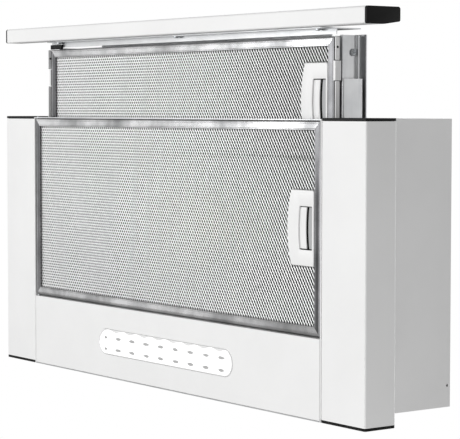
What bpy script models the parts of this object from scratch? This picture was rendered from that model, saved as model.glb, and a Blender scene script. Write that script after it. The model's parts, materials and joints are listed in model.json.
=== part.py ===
"""Telescopic under cabinet range hood, shown with its filter drawer part way out.

Frame: +X to the hood's right, -Y to the front, +Z up, metres. The origin is on the wall plane, on the
centre line, at the height of the cabinet's lower edge (the top faces of the two side rails).
"""

import math

import bmesh
import bpy
from mathutils import Matrix, Vector

# Clearances shared by every pair of neighbours
GAP = 0.0003
SHEET = 0.0010
HOLE_PLAY = 0.0003

# Hood body
WIDTH = 0.600
RAIL_WIDTH = 0.0587
RAIL_DEPTH = 0.263
RAIL_HEIGHT = 0.034
RAIL_WALL = 0.0012
RAIL_CORNER = 0.0015
CAP_PLATE = 0.0024
CAP_PLUG = 0.008
CAP_WALL = 0.0015
BODY_HALF = WIDTH / 2 - RAIL_WIDTH - GAP
BODY_FRONT = -(RAIL_DEPTH - SHEET)
BODY_TOP = 0.118
UNDERSIDE = -RAIL_HEIGHT
WALL_IN = BODY_HALF - SHEET
PANEL_HALF = WALL_IN - GAP
FLANGE = 0.010
DRAWER_HEADROOM = 0.002
TIE_HEADROOM = 0.0015
TIE_RISE = 0.0004
TIE_LEG = 0.008
SIDE_HOLE_Y = -0.0196
SIDE_HOLE_Z = BODY_TOP - 0.0034
SIDE_HOLE_RADIUS = 0.0013
SCREW_HEAD = 0.0032
SCREW_SHANK = 0.0017
LEAST_CORNER = 0.0002

# Drawer, its bar and its slides
PULL = 0.078
DRAWER_TOP = 0.020
DRAWER_ROOF_FRONT = 0.0058
DRAWER_SIDE_FRONT = 0.0073
DRAWER_FLANGE = 0.0083
DRAWER_SIDE = BODY_HALF - 0.012
DRAWER_NOTCH_X = DRAWER_SIDE - 0.039
SLIDE_SHEET = 0.0012
SLIDE_LENGTH = 0.200
BODY_SLIDE_LENGTH = 0.230
SLIDE_DRAWER_Z = (-0.0046, 0.0146)
SLIDE_STEP_Z = 0.0020
SLIDE_FRONT = 0.0063
SLIDE_LIP = 0.0042
MIDDLE_WEB = 0.0074
MIDDLE_LIP = 0.0046
BODY_LIP = 0.0052
SLIDE_SETBACK = 0.004
BAR_REAR = -(RAIL_DEPTH + PULL) - 0.0006
BAR_DEPTH = 0.0148
BAR_TOP_DEPTH = 0.0124
BAR_HEIGHT = 0.0374
BAR_WALL = 0.0014
BAR_SLANT_START = 0.020
BAR_CORNER = 0.002
DRAWER_FRONT = BAR_REAR + GAP
DRAWER_REAR = DRAWER_FRONT + 0.1163
SIDE_PLATE_LOW = -0.0097
WEB_LOW = -0.0245
STRIP_Z = -0.014
STRIP_DEPTH = 0.005
STRIP_HALF = DRAWER_SIDE + 0.0075
BAR_SCREW_X = DRAWER_SIDE - 0.0125
BAR_SCREW_Z = -0.0175
BAR_SCREW_HEIGHT = 0.0015
BAR_SCREW_REACH = 0.005
CORNER_BLOCK = (-DRAWER_SIDE - 0.006, -DRAWER_SIDE + 0.0154, 0.0047, 0.0025)
CLIP_LENGTH = 0.017
CLIP_THICK = 0.0026
CLIP_HEIGHT = 0.0064
CLIP_DROP = 0.0006
CLIP_FROM_BAR = 0.029
SLIDE_SCREW_FROM_FRONT = 0.0151
SLIDE_SPARE_HOLE_FROM_FRONT = 0.030
SLIDE_SCREW_HEIGHT = 0.0018
SLIDE_SCREW_Z = 0.0098
SLIDE_SCREW_REACH = 0.0035

# Controls behind a window in the bar's front face
PLATE_X = (DRAWER_SIDE - 0.057, DRAWER_SIDE + 0.011)
PLATE_Z = (-0.026, -0.006)
PLATE_THICK = 0.0012
KNOB_Z = -0.016
FAN_KNOB_X = PLATE_X[0] + 0.012
FAN_KNOB_TRAVEL = 0.018
LAMP_KNOB_X = PLATE_X[1] - 0.0195
LAMP_KNOB_TRAVEL = 0.008
STEM_WIDTH = 0.005
STEM_HEIGHT = 0.003
KNOB_WIDTH = 0.008
KNOB_HEIGHT = 0.006
KNOB_DEPTH = 0.0016
KNOB_EDGE = 0.0006
KNOB_PLAY = 0.0004
PLATE_CORNER = 0.003
WINDOW_INSET = (0.003, 0.004)
FOOT_DEPTH = 0.0016

# Filters
MAIN_HALF = BODY_HALF - 0.0022
MAIN_FRONT = BODY_FRONT + 0.0016
MAIN_REAR = -0.0742
MAIN_LOW = UNDERSIDE + 0.0005
MAIN_THICK = 0.009
DRAWER_FILTER_HALF = DRAWER_SIDE + 0.0065
DRAWER_FILTER_FRONT = DRAWER_FRONT + 0.0083
DRAWER_FILTER_LENGTH = 0.110
DRAWER_FILTER_LOW = -0.016
DRAWER_FILTER_THICK = 0.006
BORDER = 0.008
MAIN_SKIN = 0.0015
DRAWER_SKIN = 0.0013
FILTER_WALL = 0.0015
HINGE_X = -(MAIN_HALF - 0.0018)
HINGE_Z = MAIN_LOW + 0.002
PIN_RADIUS = 0.0010
PIN_REAR_REACH = 0.0045
PIN_FRONT_REACH = 0.0019

# Filter latches
LATCH_WIDTH = 0.0315
LATCH_LENGTH = 0.066
LATCH_BULGE = 0.0053
LATCH_PROUD = 0.0004
SLOT_WIDTH = 0.019
SLOT_LENGTH = 0.038
SLOT_EDGE = 0.0022
SLIDER_WIDTH = 0.0125
SLIDER_TRAVEL = 0.0045
TONGUE_HALF = 0.008
TONGUE_THICK = 0.0016
TONGUE_RISE = 0.0012
TONGUE_PLAY = 0.0004
TONGUE_GAP = 0.0003
POCKET_PLAY = 0.0012
PLATE_SHIFT = 0.0008
PLATE_PLAY = 0.0005
BOW_STEPS = 16
LATCH_FACE = 0.0012

# Light panel and lamp
LIGHT_FRONT = -0.0722
LIGHT_FLANGE = 0.012
LAMP_Y = -0.0367
LAMP_HALF = 0.1135
LAMP_RADIUS = 0.01275
LENS_EDGE = 0.0006
TRAY_CORNER = 0.006
LENS_PROUD = 0.0006
LENS_FLANGE = 0.002
TRAY_HALF = LAMP_HALF + 0.0085
TRAY_HALF_DEPTH = 0.0195
TRAY_TOP = -0.0145
TRAY_WALL = 0.0010
TRAY_FLANGE = 0.004
LED_ROW = 0.00585
LED_COLUMNS = 9
BOARD_HALF = LAMP_HALF - 0.0015
LED_PITCH = 2 * BOARD_HALF / LED_COLUMNS
BOARD_HALF_DEPTH = 0.010
BOARD_THICK = 0.0016
CHIP_HALF = 0.0016
CHIP_THICK = 0.0008
BOARD_DROP = 0.0014

# Blower
FAN_Y = -0.080
FAN_Z = 0.052
FAN_RADIUS = 0.046
BLADE_DEPTH = 0.008
BLADE_COUNT = 30
BLADE_LEAN = math.radians(35)
FAN_HALF = 0.042
FAN_RING = 0.003
FAN_DISC = 0.0015
FAN_DISC_CLEAR = 0.0015
BLADE_GAP_SHARE = 0.60
HUB_RADIUS = 0.010
HUB_HALF = 0.012
SHAFT_RADIUS = 0.004
SHAFT_EDGE = 0.0005
SHAFT_PAST = 0.004
SCROLL_START = FAN_RADIUS + 0.004
SCROLL_GROWTH = 0.012
SCROLL_WALL = 0.002
SCROLL_HALF = 0.052
SCROLL_TOP = BODY_TOP - SHEET - 0.0005
TONGUE_ANGLE = math.radians(70)
SCROLL_TURN = math.radians(250)
SCROLL_STEPS = 40
INLET_RADIUS = FAN_RADIUS - 0.003
INLET_LIP = 0.003
INLET_FLANGE = 0.007
INLET_THICK = 0.0016
INLET_NECK = 0.002
INLET_RISE = 0.0045
INLET_LIP_RISE = 0.0036
MOTOR_RADIUS = 0.036
MOTOR_BORE_PLAY = 0.0007
MOTOR_SHOULDER_SHARE = 0.6
MOTOR_TAPER = 0.003
MOTOR_DOME = 0.004
MOTOR_ROUND = 0.008
BRACKET_SHEET = 0.0025
BRACKET_FOOT = 0.003
BRACKET_ROOT = 0.001
LEG_HALF = 0.004
MOTOR_START = 0.064
MOTOR_LENGTH = 0.044
BRACKET_X = 0.072
BRACKET_WIDTH = 0.006
BRACKET_RADIUS = INLET_RADIUS + 0.0125
BRACKET_ANGLES = (100, 200, 300)

# Outlet
COLLAR_RADIUS = 0.060
COLLAR_WALL = 0.0025
COLLAR_FLANGE = COLLAR_RADIUS + 0.011
COLLAR_TOP = BODY_TOP + 0.028
COLLAR_EDGE = 0.001
FLAP_CLEAR = 0.001
FLANGE_THICK = 0.0025
LIP_DEPTH = 0.003
LIP_TOP = BODY_TOP + 0.0055
LIP_THICK = 0.0020
FLAP_THICK = 0.0010
FLAP_EDGE = 0.0022
FLAP_PIN_RADIUS = 0.0015
FLAP_PIN_Z = LIP_TOP + 0.0027
OUTLET_Y = FAN_Y + (SCROLL_START * math.cos(TONGUE_ANGLE) - SCROLL_START - SCROLL_GROWTH) / 2

# Electrics inside the body
BOX_X = (-BODY_HALF + 0.016, -BODY_HALF + 0.091)
BOX_Y = (-0.070, -0.018)
BOX_LOW = BODY_TOP - 0.058
BOX_WALL = 0.002
BOX_CORNER = 0.003
CAPACITOR_RADIUS = 0.015
CAPACITOR_EDGE = 0.002
CAPACITOR_LENGTH = 0.052
GLAND_X = (BOX_X[0] + BOX_X[1]) / 2
GLAND_Y = (BOX_Y[0] + BOX_Y[1]) / 2
GLAND_THREAD = 0.0077
GLAND_HEAD = 0.011
GLAND_TAIL = 0.006
GLAND_NUT = 0.004
GLAND_DOME = 0.006
GLAND_RISE = 0.010
GLAND_TAPER = 0.001
GLAND_BORE = 0.0035

ROUND_STEPS = 48
SMALL_STEPS = 16


def clear_scene():
    """Remove every object so that only this part is left."""
    for old in list(bpy.data.objects):
        bpy.data.objects.remove(old, do_unlink=True)


def finish(name, colour, roughness, metallic):
    """One Principled material."""
    made = bpy.data.materials.new(name)
    made.use_nodes = True
    shader = made.node_tree.nodes["Principled BSDF"]
    shader.inputs["Base Color"].default_value = (*colour, 1.0)
    shader.inputs["Roughness"].default_value = roughness
    shader.inputs["Metallic"].default_value = metallic
    return made


def place(axis, u, v, along):
    """World point of outline coordinates (u, v) at a distance along the axis."""
    if axis == "X":
        return Vector((along, u, v))
    if axis == "Y":
        return Vector((u, along, v))
    return Vector((u, v, along))


def rounded(corners, steps=4):
    """Outline through (u, v, radius) corners, each one turned by an arc."""
    points = []
    for index, (u, v, radius) in enumerate(corners):
        here = Vector((u, v))
        before = (Vector(corners[index - 1][:2]) - here).normalized()
        after = (Vector(corners[(index + 1) % len(corners)][:2]) - here).normalized()
        half = before.angle(after) / 2
        centre = here + (before + after).normalized() * (radius / math.sin(half))
        start = here + before * (radius / math.tan(half)) - centre
        end = here + after * (radius / math.tan(half)) - centre
        first = math.atan2(start.y, start.x)
        turn = math.remainder(math.atan2(end.y, end.x) - first, math.tau)
        for step in range(steps + 1):
            angle = first + turn * step / steps
            points.append((centre.x + radius * math.cos(angle), centre.y + radius * math.sin(angle)))
    return points


def inset(corners, distance):
    """The same convex corners moved inward by a wall thickness."""
    middle = sum((Vector(c[:2]) for c in corners), Vector((0, 0))) / len(corners)
    lines = []
    for index, corner in enumerate(corners):
        start = Vector(corner[:2])
        along = (Vector(corners[(index + 1) % len(corners)][:2]) - start).normalized()
        inward = Vector((-along.y, along.x))
        if inward.dot(middle - start) < 0:
            inward = -inward
        lines.append((start + inward * distance, along))
    moved = []
    for index, corner in enumerate(corners):
        start, along = lines[index - 1]
        other, across = lines[index]
        cross = along.x * across.y - along.y * across.x
        step = ((other - start).x * across.y - (other - start).y * across.x) / cross
        point = start + along * step
        moved.append((point.x, point.y, max(corner[2] - distance, LEAST_CORNER)))
    return moved


def rectangle(u0, u1, v0, v1, radius=0.0):
    """Corners of a rectangle, with a radius for each."""
    return [(u0, v0, radius), (u1, v0, radius), (u1, v1, radius), (u0, v1, radius)]


def flat(u0, u1, v0, v1):
    """Plain rectangular outline."""
    return [(u0, v0), (u1, v0), (u1, v1), (u0, v1)]


def circle(u, v, radius, steps=ROUND_STEPS):
    """Circular outline."""
    turns = [math.tau * step / steps for step in range(steps)]
    return [(u + radius * math.cos(turn), v + radius * math.sin(turn)) for turn in turns]


def add_loft(mesh, rings, axis, loop=False):
    """Skin a run of (outline, distance) rings; a loop closes on itself, a run gets two caps."""
    rows = [[mesh.verts.new(place(axis, u, v, along)) for u, v in outline] for outline, along in rings]
    pairs = list(zip(rows, rows[1:]))
    if loop:
        pairs.append((rows[-1], rows[0]))
    for low, high in pairs:
        for index in range(len(low)):
            after = (index + 1) % len(low)
            mesh.faces.new((low[index], low[after], high[after], high[index]))
    if not loop:
        mesh.faces.new(rows[0])
        mesh.faces.new(rows[-1])


def add_box(mesh, x0, x1, y0, y1, z0, z1):
    """Plain box between two corners."""
    add_loft(mesh, [(flat(x0, x1, y0, y1), z0), (flat(x0, x1, y0, y1), z1)], "Z")


def new_object(name, mesh, smooth=False):
    """Turn a finished bmesh into an object with its faces outward."""
    bmesh.ops.remove_doubles(mesh, verts=mesh.verts, dist=1e-7)
    bmesh.ops.recalc_face_normals(mesh, faces=mesh.faces)
    data = bpy.data.meshes.new(name)
    mesh.to_mesh(data)
    mesh.free()
    if smooth:
        data.shade_smooth()
        data.set_sharp_from_angle(angle=math.radians(35))
    made = bpy.data.objects.new(name, data)
    bpy.context.scene.collection.objects.link(made)
    return made


def dress(made, material, joint=None):
    """Give the object its finish and hang it on its joint's empty, if it moves."""
    made.data.materials.append(material)
    if joint:
        made.parent = joint
        made.location = -joint.matrix_world.translation
    return made


def pivot(name, point, parent=None):
    """Empty on a joint axis."""
    made = bpy.data.objects.new(name, None)
    bpy.context.scene.collection.objects.link(made)
    made.location = Vector(point)
    if parent:
        made.parent = parent
        made.location -= parent.matrix_world.translation
    bpy.context.view_layer.update()
    return made


def loft(name, rings, axis, material, joint=None, loop=False, smooth=False):
    """One object from one run of rings."""
    mesh = bmesh.new()
    add_loft(mesh, rings, axis, loop)
    return dress(new_object(name, mesh, smooth), material, joint)


def boxes(name, sizes, material, joint=None):
    """One object made of one or more separate boxes."""
    mesh = bmesh.new()
    for size in sizes:
        add_box(mesh, *size)
    return dress(new_object(name, mesh), material, joint)


def combine(target, helper, operation):
    """Boolean with a hidden helper that moves with the target."""
    helper.hide_render = True
    helper.display_type = "WIRE"
    if target.parent:
        helper.parent = target.parent
        helper.location = target.location
    step = target.modifiers.new(helper.name, "BOOLEAN")
    step.operation = operation
    step.solver = "EXACT"
    step.object = helper


def cut_boxes(target, name, sizes):
    """Cut separate boxes out of the target."""
    mesh = bmesh.new()
    for size in sizes:
        add_box(mesh, *size)
    combine(target, new_object(name, mesh), "DIFFERENCE")


def cut_lofts(target, name, runs):
    """Cut separate lofted shapes, each (rings, axis), out of the target."""
    mesh = bmesh.new()
    for rings, axis in runs:
        add_loft(mesh, rings, axis)
    combine(target, new_object(name, mesh), "DIFFERENCE")


def lathe(name, profile, axis, centre, material, joint=None, steps=ROUND_STEPS):
    """Solid of revolution from a closed (radius, height) profile round an axis through the centre."""
    mesh = bmesh.new()
    rings = [(circle(*centre, radius, steps), height) for radius, height in profile]
    add_loft(mesh, rings, axis, loop=True)
    return dress(new_object(name, mesh, smooth=True), material, joint)


def turned(name, profile, axis, centre, material, joint=None, steps=ROUND_STEPS):
    """Round solid from an open (radius, height) run, closed by a flat cap at each end."""
    rings = [(circle(*centre, radius, steps), height) for radius, height in profile]
    return loft(name, rings, axis, material, joint, smooth=True)


def screw_rings(centre, head_start, head_height, shank_length, head_radius, shank_radius, way):
    """Pan head screw; way is +1 when the shank runs toward + along the axis."""
    edge = head_height / 3
    under = head_start + way * head_height
    return [
        (circle(*centre, head_radius - edge, SMALL_STEPS), head_start),
        (circle(*centre, head_radius, SMALL_STEPS), head_start + way * edge),
        (circle(*centre, head_radius, SMALL_STEPS), under),
        (circle(*centre, shank_radius, SMALL_STEPS), under),
        (circle(*centre, shank_radius, SMALL_STEPS), under + way * shank_length),
    ]


def screws(names, axis, runs, material, joint=None):
    """One object for each screw."""
    for name, run in zip(names, runs):
        loft(name, run, axis, material, joint, smooth=True)


def drill(target, name, axis, holes):
    """Round holes, each (centre, radius, start, end)."""
    runs = []
    for centre, radius, start, end in holes:
        outline = circle(*centre, radius, SMALL_STEPS)
        runs.append(([(outline, start), (outline, end)], axis))
    cut_lofts(target, name, runs)


def build_housing(paint):
    """Bent shell, rear and front panels and the lower tie strip."""
    roof = BODY_TOP - SHEET
    walls = [
        (-BODY_HALF, UNDERSIDE), (-BODY_HALF, BODY_TOP), (BODY_HALF, BODY_TOP), (BODY_HALF, UNDERSIDE),
        (WALL_IN, UNDERSIDE), (WALL_IN, roof), (-WALL_IN, roof), (-WALL_IN, UNDERSIDE),
    ]
    shell = loft("housing_shell", [(walls, BODY_FRONT), (walls, 0.0)], "Y", paint)
    drill(shell, "side_hole_cut", "X", [((SIDE_HOLE_Y, SIDE_HOLE_Z), SIDE_HOLE_RADIUS, -WIDTH, WIDTH)])
    roof = (BODY_TOP - 2 * SHEET, BODY_TOP + SHEET)
    drill(shell, "gland_hole_cut", "Z", [((GLAND_X, GLAND_Y), GLAND_THREAD + HOLE_PLAY, *roof)])
    outlet = circle(0, OUTLET_Y, COLLAR_RADIUS - COLLAR_WALL)
    cut_lofts(shell, "outlet_cut", [([(outlet, roof[0]), (outlet, roof[1])], "Z")])

    top = BODY_TOP - SHEET - GAP
    low = UNDERSIDE + GAP
    rear = boxes("rear_panel", [(-PANEL_HALF, PANEL_HALF, -FLANGE, 0, low, top)], paint)
    inner = PANEL_HALF - SHEET
    light_top = UNDERSIDE + LIGHT_FLANGE + SHEET
    cut_boxes(rear, "rear_tray_cut", [(-inner, inner, -2 * FLANGE, -SHEET, low - FLANGE, top - SHEET)])
    cut_boxes(rear, "rear_foot_cut", [(-WIDTH, WIDTH, -2 * FLANGE, -SHEET, low - FLANGE, light_top)])

    front_low = DRAWER_TOP + DRAWER_HEADROOM
    size = (-PANEL_HALF, PANEL_HALF, BODY_FRONT, BODY_FRONT + FLANGE, front_low, top)
    front = boxes("front_panel", [size], paint)
    hollow = (-inner, inner, BODY_FRONT + SHEET, BODY_FRONT + 2 * FLANGE, front_low + SHEET, top - SHEET)
    cut_boxes(front, "front_tray_cut", [hollow])

    strip_top = DRAWER_FILTER_LOW - TIE_HEADROOM
    lip = BODY_FRONT + SHEET
    foot = UNDERSIDE + TIE_RISE
    angle = [
        (BODY_FRONT, foot), (lip, foot), (lip, strip_top - SHEET),
        (lip + TIE_LEG, strip_top - SHEET), (lip + TIE_LEG, strip_top), (BODY_FRONT, strip_top),
    ]
    strip = loft("front_tie_strip", [(angle, -PANEL_HALF), (angle, PANEL_HALF)], "X", paint)
    hole = ((HINGE_X, HINGE_Z), PIN_RADIUS + HOLE_PLAY, BODY_FRONT - SHEET, BODY_FRONT + 2 * SHEET)
    drill(strip, "strip_pin_cut", "Y", [hole])


def build_rail(side, word, paint, plastic):
    """One side rail with a plastic cap at each end."""
    u0, u1 = sorted((side * (WIDTH / 2 - RAIL_WIDTH), side * WIDTH / 2))
    corners = rectangle(u0, u1, UNDERSIDE, 0.0, RAIL_CORNER)
    outer = rounded(corners)
    inner = rounded(inset(corners, RAIL_WALL))
    plug = rounded(inset(corners, RAIL_WALL + GAP))
    hollow = rounded(inset(corners, RAIL_WALL + GAP + CAP_WALL))
    front = -RAIL_DEPTH + CAP_PLATE + GAP
    rear = -CAP_PLATE - GAP
    rings = [(outer, front), (outer, rear), (inner, rear), (inner, front)]
    loft(word + "_side_rail", rings, "Y", paint, loop=True, smooth=True)
    for end, way, name in ((-RAIL_DEPTH, 1, "_rail_front_cap"), (0.0, -1, "_rail_rear_cap")):
        seat = end + way * CAP_PLATE
        tip = seat + way * CAP_PLUG
        rings = [(outer, end), (outer, seat), (plug, seat), (plug, tip), (hollow, tip), (hollow, seat)]
        loft(word + name, rings, "Y", plastic, smooth=True)


def build_light(paint, lens, plastic, board):
    """Light panel with its lamp lens, tray and board of light chips."""
    rear = -SHEET - GAP
    top = UNDERSIDE + LIGHT_FLANGE
    section = [
        (LIGHT_FRONT, UNDERSIDE), (rear, UNDERSIDE), (rear, top), (rear - SHEET, top),
        (rear - SHEET, UNDERSIDE + SHEET), (LIGHT_FRONT + SHEET, UNDERSIDE + SHEET),
        (LIGHT_FRONT + SHEET, top), (LIGHT_FRONT, top),
    ]
    half = PANEL_HALF - GAP
    panel = loft("light_panel", [(section, -half), (section, half)], "X", paint)
    hole = ((HINGE_X, HINGE_Z), PIN_RADIUS + HOLE_PLAY, LIGHT_FRONT - SHEET, LIGHT_FRONT + 2 * SHEET)
    drill(panel, "panel_pin_cut", "Y", [hole])
    window = lamp_outline(GAP)
    cut_lofts(panel, "lamp_cut", [([(window, UNDERSIDE - SHEET), (window, UNDERSIDE + 2 * SHEET)], "Z")])

    face = UNDERSIDE - LENS_PROUD
    seat = UNDERSIDE + SHEET + GAP
    rings = [
        (lamp_outline(-LENS_EDGE), face), (lamp_outline(0), face + LENS_EDGE), (lamp_outline(0), seat),
        (lamp_outline(LENS_FLANGE), seat), (lamp_outline(LENS_FLANGE), seat + SHEET),
    ]
    loft("lamp_lens", rings, "Z", lens, smooth=True)

    outer = tray_outline(0)
    inner = tray_outline(-TRAY_WALL)
    skirt = tray_outline(TRAY_FLANGE)
    roof = TRAY_TOP - TRAY_WALL
    rings = [
        (inner, roof), (inner, seat), (skirt, seat), (skirt, seat + TRAY_WALL),
        (outer, seat + TRAY_WALL), (outer, TRAY_TOP),
    ]
    loft("lamp_tray", rings, "Z", plastic, smooth=True)

    board_top = roof - BOARD_DROP
    low = board_top - BOARD_THICK
    size = (-BOARD_HALF, BOARD_HALF, LAMP_Y - BOARD_HALF_DEPTH, LAMP_Y + BOARD_HALF_DEPTH, low, board_top)
    led_board = boxes("led_board", [size], board)
    chips = []
    for column in range(LED_COLUMNS):
        x = (column - (LED_COLUMNS - 1) / 2) * LED_PITCH
        across = (x - CHIP_HALF, x + CHIP_HALF)
        for y in (LAMP_Y - LED_ROW, LAMP_Y + LED_ROW):
            chips.append((*across, y - CHIP_HALF, y + CHIP_HALF, low - CHIP_THICK, low + GAP))
    mesh = bmesh.new()
    for size in chips:
        add_box(mesh, *size)
    combine(led_board, new_object("led_chips", mesh), "UNION")


def lamp_outline(grow):
    """Long round-ended outline of the lamp."""
    radius = LAMP_RADIUS + grow
    half = LAMP_HALF + grow
    corners = rectangle(-half, half, LAMP_Y - radius, LAMP_Y + radius, radius * 0.999)
    return rounded(corners, 8)


def tray_outline(grow):
    """Rounded outline of the lamp tray."""
    depth = TRAY_HALF_DEPTH + grow
    half = TRAY_HALF + grow
    return rounded(rectangle(-half, half, LAMP_Y - depth, LAMP_Y + depth, TRAY_CORNER + grow), 4)


def scroll_outline(grow, top):
    """Spiral volute that leads round the fan and up to the outlet."""
    points = []
    for step in range(SCROLL_STEPS + 1):
        share = step / SCROLL_STEPS
        angle = TONGUE_ANGLE - SCROLL_TURN * share
        radius = SCROLL_START + SCROLL_GROWTH * share + grow
        points.append((FAN_Y + radius * math.cos(angle), FAN_Z + radius * math.sin(angle)))
    points.append((FAN_Y - SCROLL_START - SCROLL_GROWTH - grow, top))
    points.append((FAN_Y + SCROLL_START * math.cos(TONGUE_ANGLE) + grow, top))
    return points


def build_blower_half(side, word, plastic):
    """One moulded half of the blower housing with its inlet ring."""
    outer = scroll_outline(SCROLL_WALL, SCROLL_TOP)
    inner = scroll_outline(0, SCROLL_TOP + SCROLL_WALL)
    join = side * GAP / 2
    face = side * SCROLL_HALF
    half = loft("blower_half_" + word, [(outer, join), (outer, face)], "X", plastic, smooth=True)
    deep = [(inner, join - side * SCROLL_WALL), (inner, face - side * SCROLL_WALL)]
    cut_lofts(half, word + "_volute_cut", [(deep, "X")])
    mouth = circle(FAN_Y, FAN_Z, INLET_RADIUS)
    through = [(mouth, face - side * 2 * SCROLL_WALL), (mouth, face + side)]
    cut_lofts(half, word + "_inlet_cut", [(through, "X")])
    seat = SCROLL_HALF + GAP
    profile = [
        (INLET_RADIUS - INLET_LIP, seat), (INLET_RADIUS + INLET_FLANGE, seat),
        (INLET_RADIUS + INLET_FLANGE, seat + INLET_THICK), (INLET_RADIUS + INLET_NECK, seat + INLET_NECK),
        (INLET_RADIUS, seat + INLET_RISE), (INLET_RADIUS - INLET_LIP, seat + INLET_LIP_RISE),
    ]
    profile = [(radius, side * height) for radius, height in profile]
    lathe("inlet_ring_" + word, profile, "X", (FAN_Y, FAN_Z), plastic)


def build_fan(plastic, steel, joint):
    """Squirrel cage impeller and its shaft."""
    inner = FAN_RADIUS - BLADE_DEPTH
    bore = SHAFT_RADIUS + GAP
    profile = [
        (bore, -HUB_HALF), (HUB_RADIUS, -HUB_HALF), (HUB_RADIUS, -FAN_DISC), (inner, -FAN_DISC),
        (inner, -FAN_HALF), (FAN_RADIUS, -FAN_HALF), (FAN_RADIUS, FAN_HALF), (inner, FAN_HALF),
        (inner, FAN_DISC), (HUB_RADIUS, FAN_DISC), (HUB_RADIUS, HUB_HALF), (bore, HUB_HALF),
    ]
    impeller = lathe("impeller", profile, "X", (FAN_Y, FAN_Z), plastic, joint, BLADE_COUNT * 2)
    mesh = bmesh.new()
    width = math.tau * inner / BLADE_COUNT * BLADE_GAP_SHARE
    disc = FAN_DISC + FAN_DISC_CLEAR
    ring = FAN_HALF - FAN_RING
    for start, end in ((-ring, -disc), (disc, ring)):
        for blade in range(BLADE_COUNT):
            slot = bmesh.new()
            add_box(slot, start, end, -width / 2, width / 2, -BLADE_DEPTH, BLADE_DEPTH)
            middle = FAN_RADIUS - BLADE_DEPTH / 2
            lean = Matrix.Translation((0, 0, middle)) @ Matrix.Rotation(BLADE_LEAN, 4, "X")
            turn = Matrix.Rotation(math.tau * (blade + 0.5) / BLADE_COUNT, 4, "X")
            slot.transform(Matrix.Translation((0, FAN_Y, FAN_Z)) @ turn @ lean)
            held = bpy.data.meshes.new("slot")
            slot.to_mesh(held)
            slot.free()
            mesh.from_mesh(held)
            bpy.data.meshes.remove(held)
    combine(impeller, new_object("blade_slot_cut", mesh), "DIFFERENCE")
    start = -HUB_HALF - SHAFT_PAST
    end = MOTOR_START + MOTOR_LENGTH + SHAFT_PAST
    tip = SHAFT_RADIUS - SHAFT_EDGE
    profile = [
        (tip, start), (SHAFT_RADIUS, start + SHAFT_EDGE),
        (SHAFT_RADIUS, end - SHAFT_EDGE), (tip, end),
    ]
    turned("fan_shaft", profile, "X", (FAN_Y, FAN_Z), steel, joint, SMALL_STEPS)


def build_motor(steel, bracket_steel):
    """Motor beside the blower and the three-legged bracket that carries it."""
    end = MOTOR_START + MOTOR_LENGTH
    bore = SHAFT_RADIUS + MOTOR_BORE_PLAY
    shoulder = MOTOR_RADIUS * MOTOR_SHOULDER_SHARE
    taper = MOTOR_RADIUS - MOTOR_TAPER
    profile = [
        (bore, MOTOR_START), (shoulder, MOTOR_START), (taper, MOTOR_START + MOTOR_DOME),
        (MOTOR_RADIUS, MOTOR_START + MOTOR_ROUND), (MOTOR_RADIUS, end - MOTOR_ROUND),
        (taper, end - MOTOR_DOME), (shoulder, end), (bore, end),
    ]
    lathe("motor_body", profile, "X", (FAN_Y, FAN_Z), steel)
    inner = MOTOR_RADIUS + GAP
    outer = inner + BRACKET_SHEET
    ring = [
        (inner, BRACKET_X), (outer, BRACKET_X), (outer, BRACKET_X + BRACKET_WIDTH),
        (inner, BRACKET_X + BRACKET_WIDTH),
    ]
    bracket = lathe("motor_bracket", ring, "X", (FAN_Y, FAN_Z), bracket_steel)
    seat = SCROLL_HALF + GAP
    foot = BRACKET_RADIUS - BRACKET_FOOT
    arm = BRACKET_X + BRACKET_FOOT
    root = inner + BRACKET_ROOT
    arm_low = BRACKET_X + BRACKET_ROOT
    leg = [
        (root, arm_low), (foot, arm_low), (foot, seat),
        (BRACKET_RADIUS, seat), (BRACKET_RADIUS, arm), (root, arm),
    ]
    mesh = bmesh.new()
    for degrees in BRACKET_ANGLES:
        part = bmesh.new()
        outline = [(radius, along) for radius, along in leg]
        rows = [(outline, -LEG_HALF), (outline, LEG_HALF)]
        add_loft(part, rows, "Z")
        # The leg is drawn as (radius, along) in XY, then stood up so that "along" is X.
        stand = Matrix(((0, 1, 0, 0), (1, 0, 0, 0), (0, 0, 1, 0), (0, 0, 0, 1)))
        turn = Matrix.Rotation(math.radians(degrees), 4, "X")
        part.transform(Matrix.Translation((0, FAN_Y, FAN_Z)) @ turn @ stand)
        held = bpy.data.meshes.new("leg")
        part.to_mesh(held)
        part.free()
        mesh.from_mesh(held)
        bpy.data.meshes.remove(held)
    combine(bracket, new_object("motor_legs", mesh), "UNION")


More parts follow.
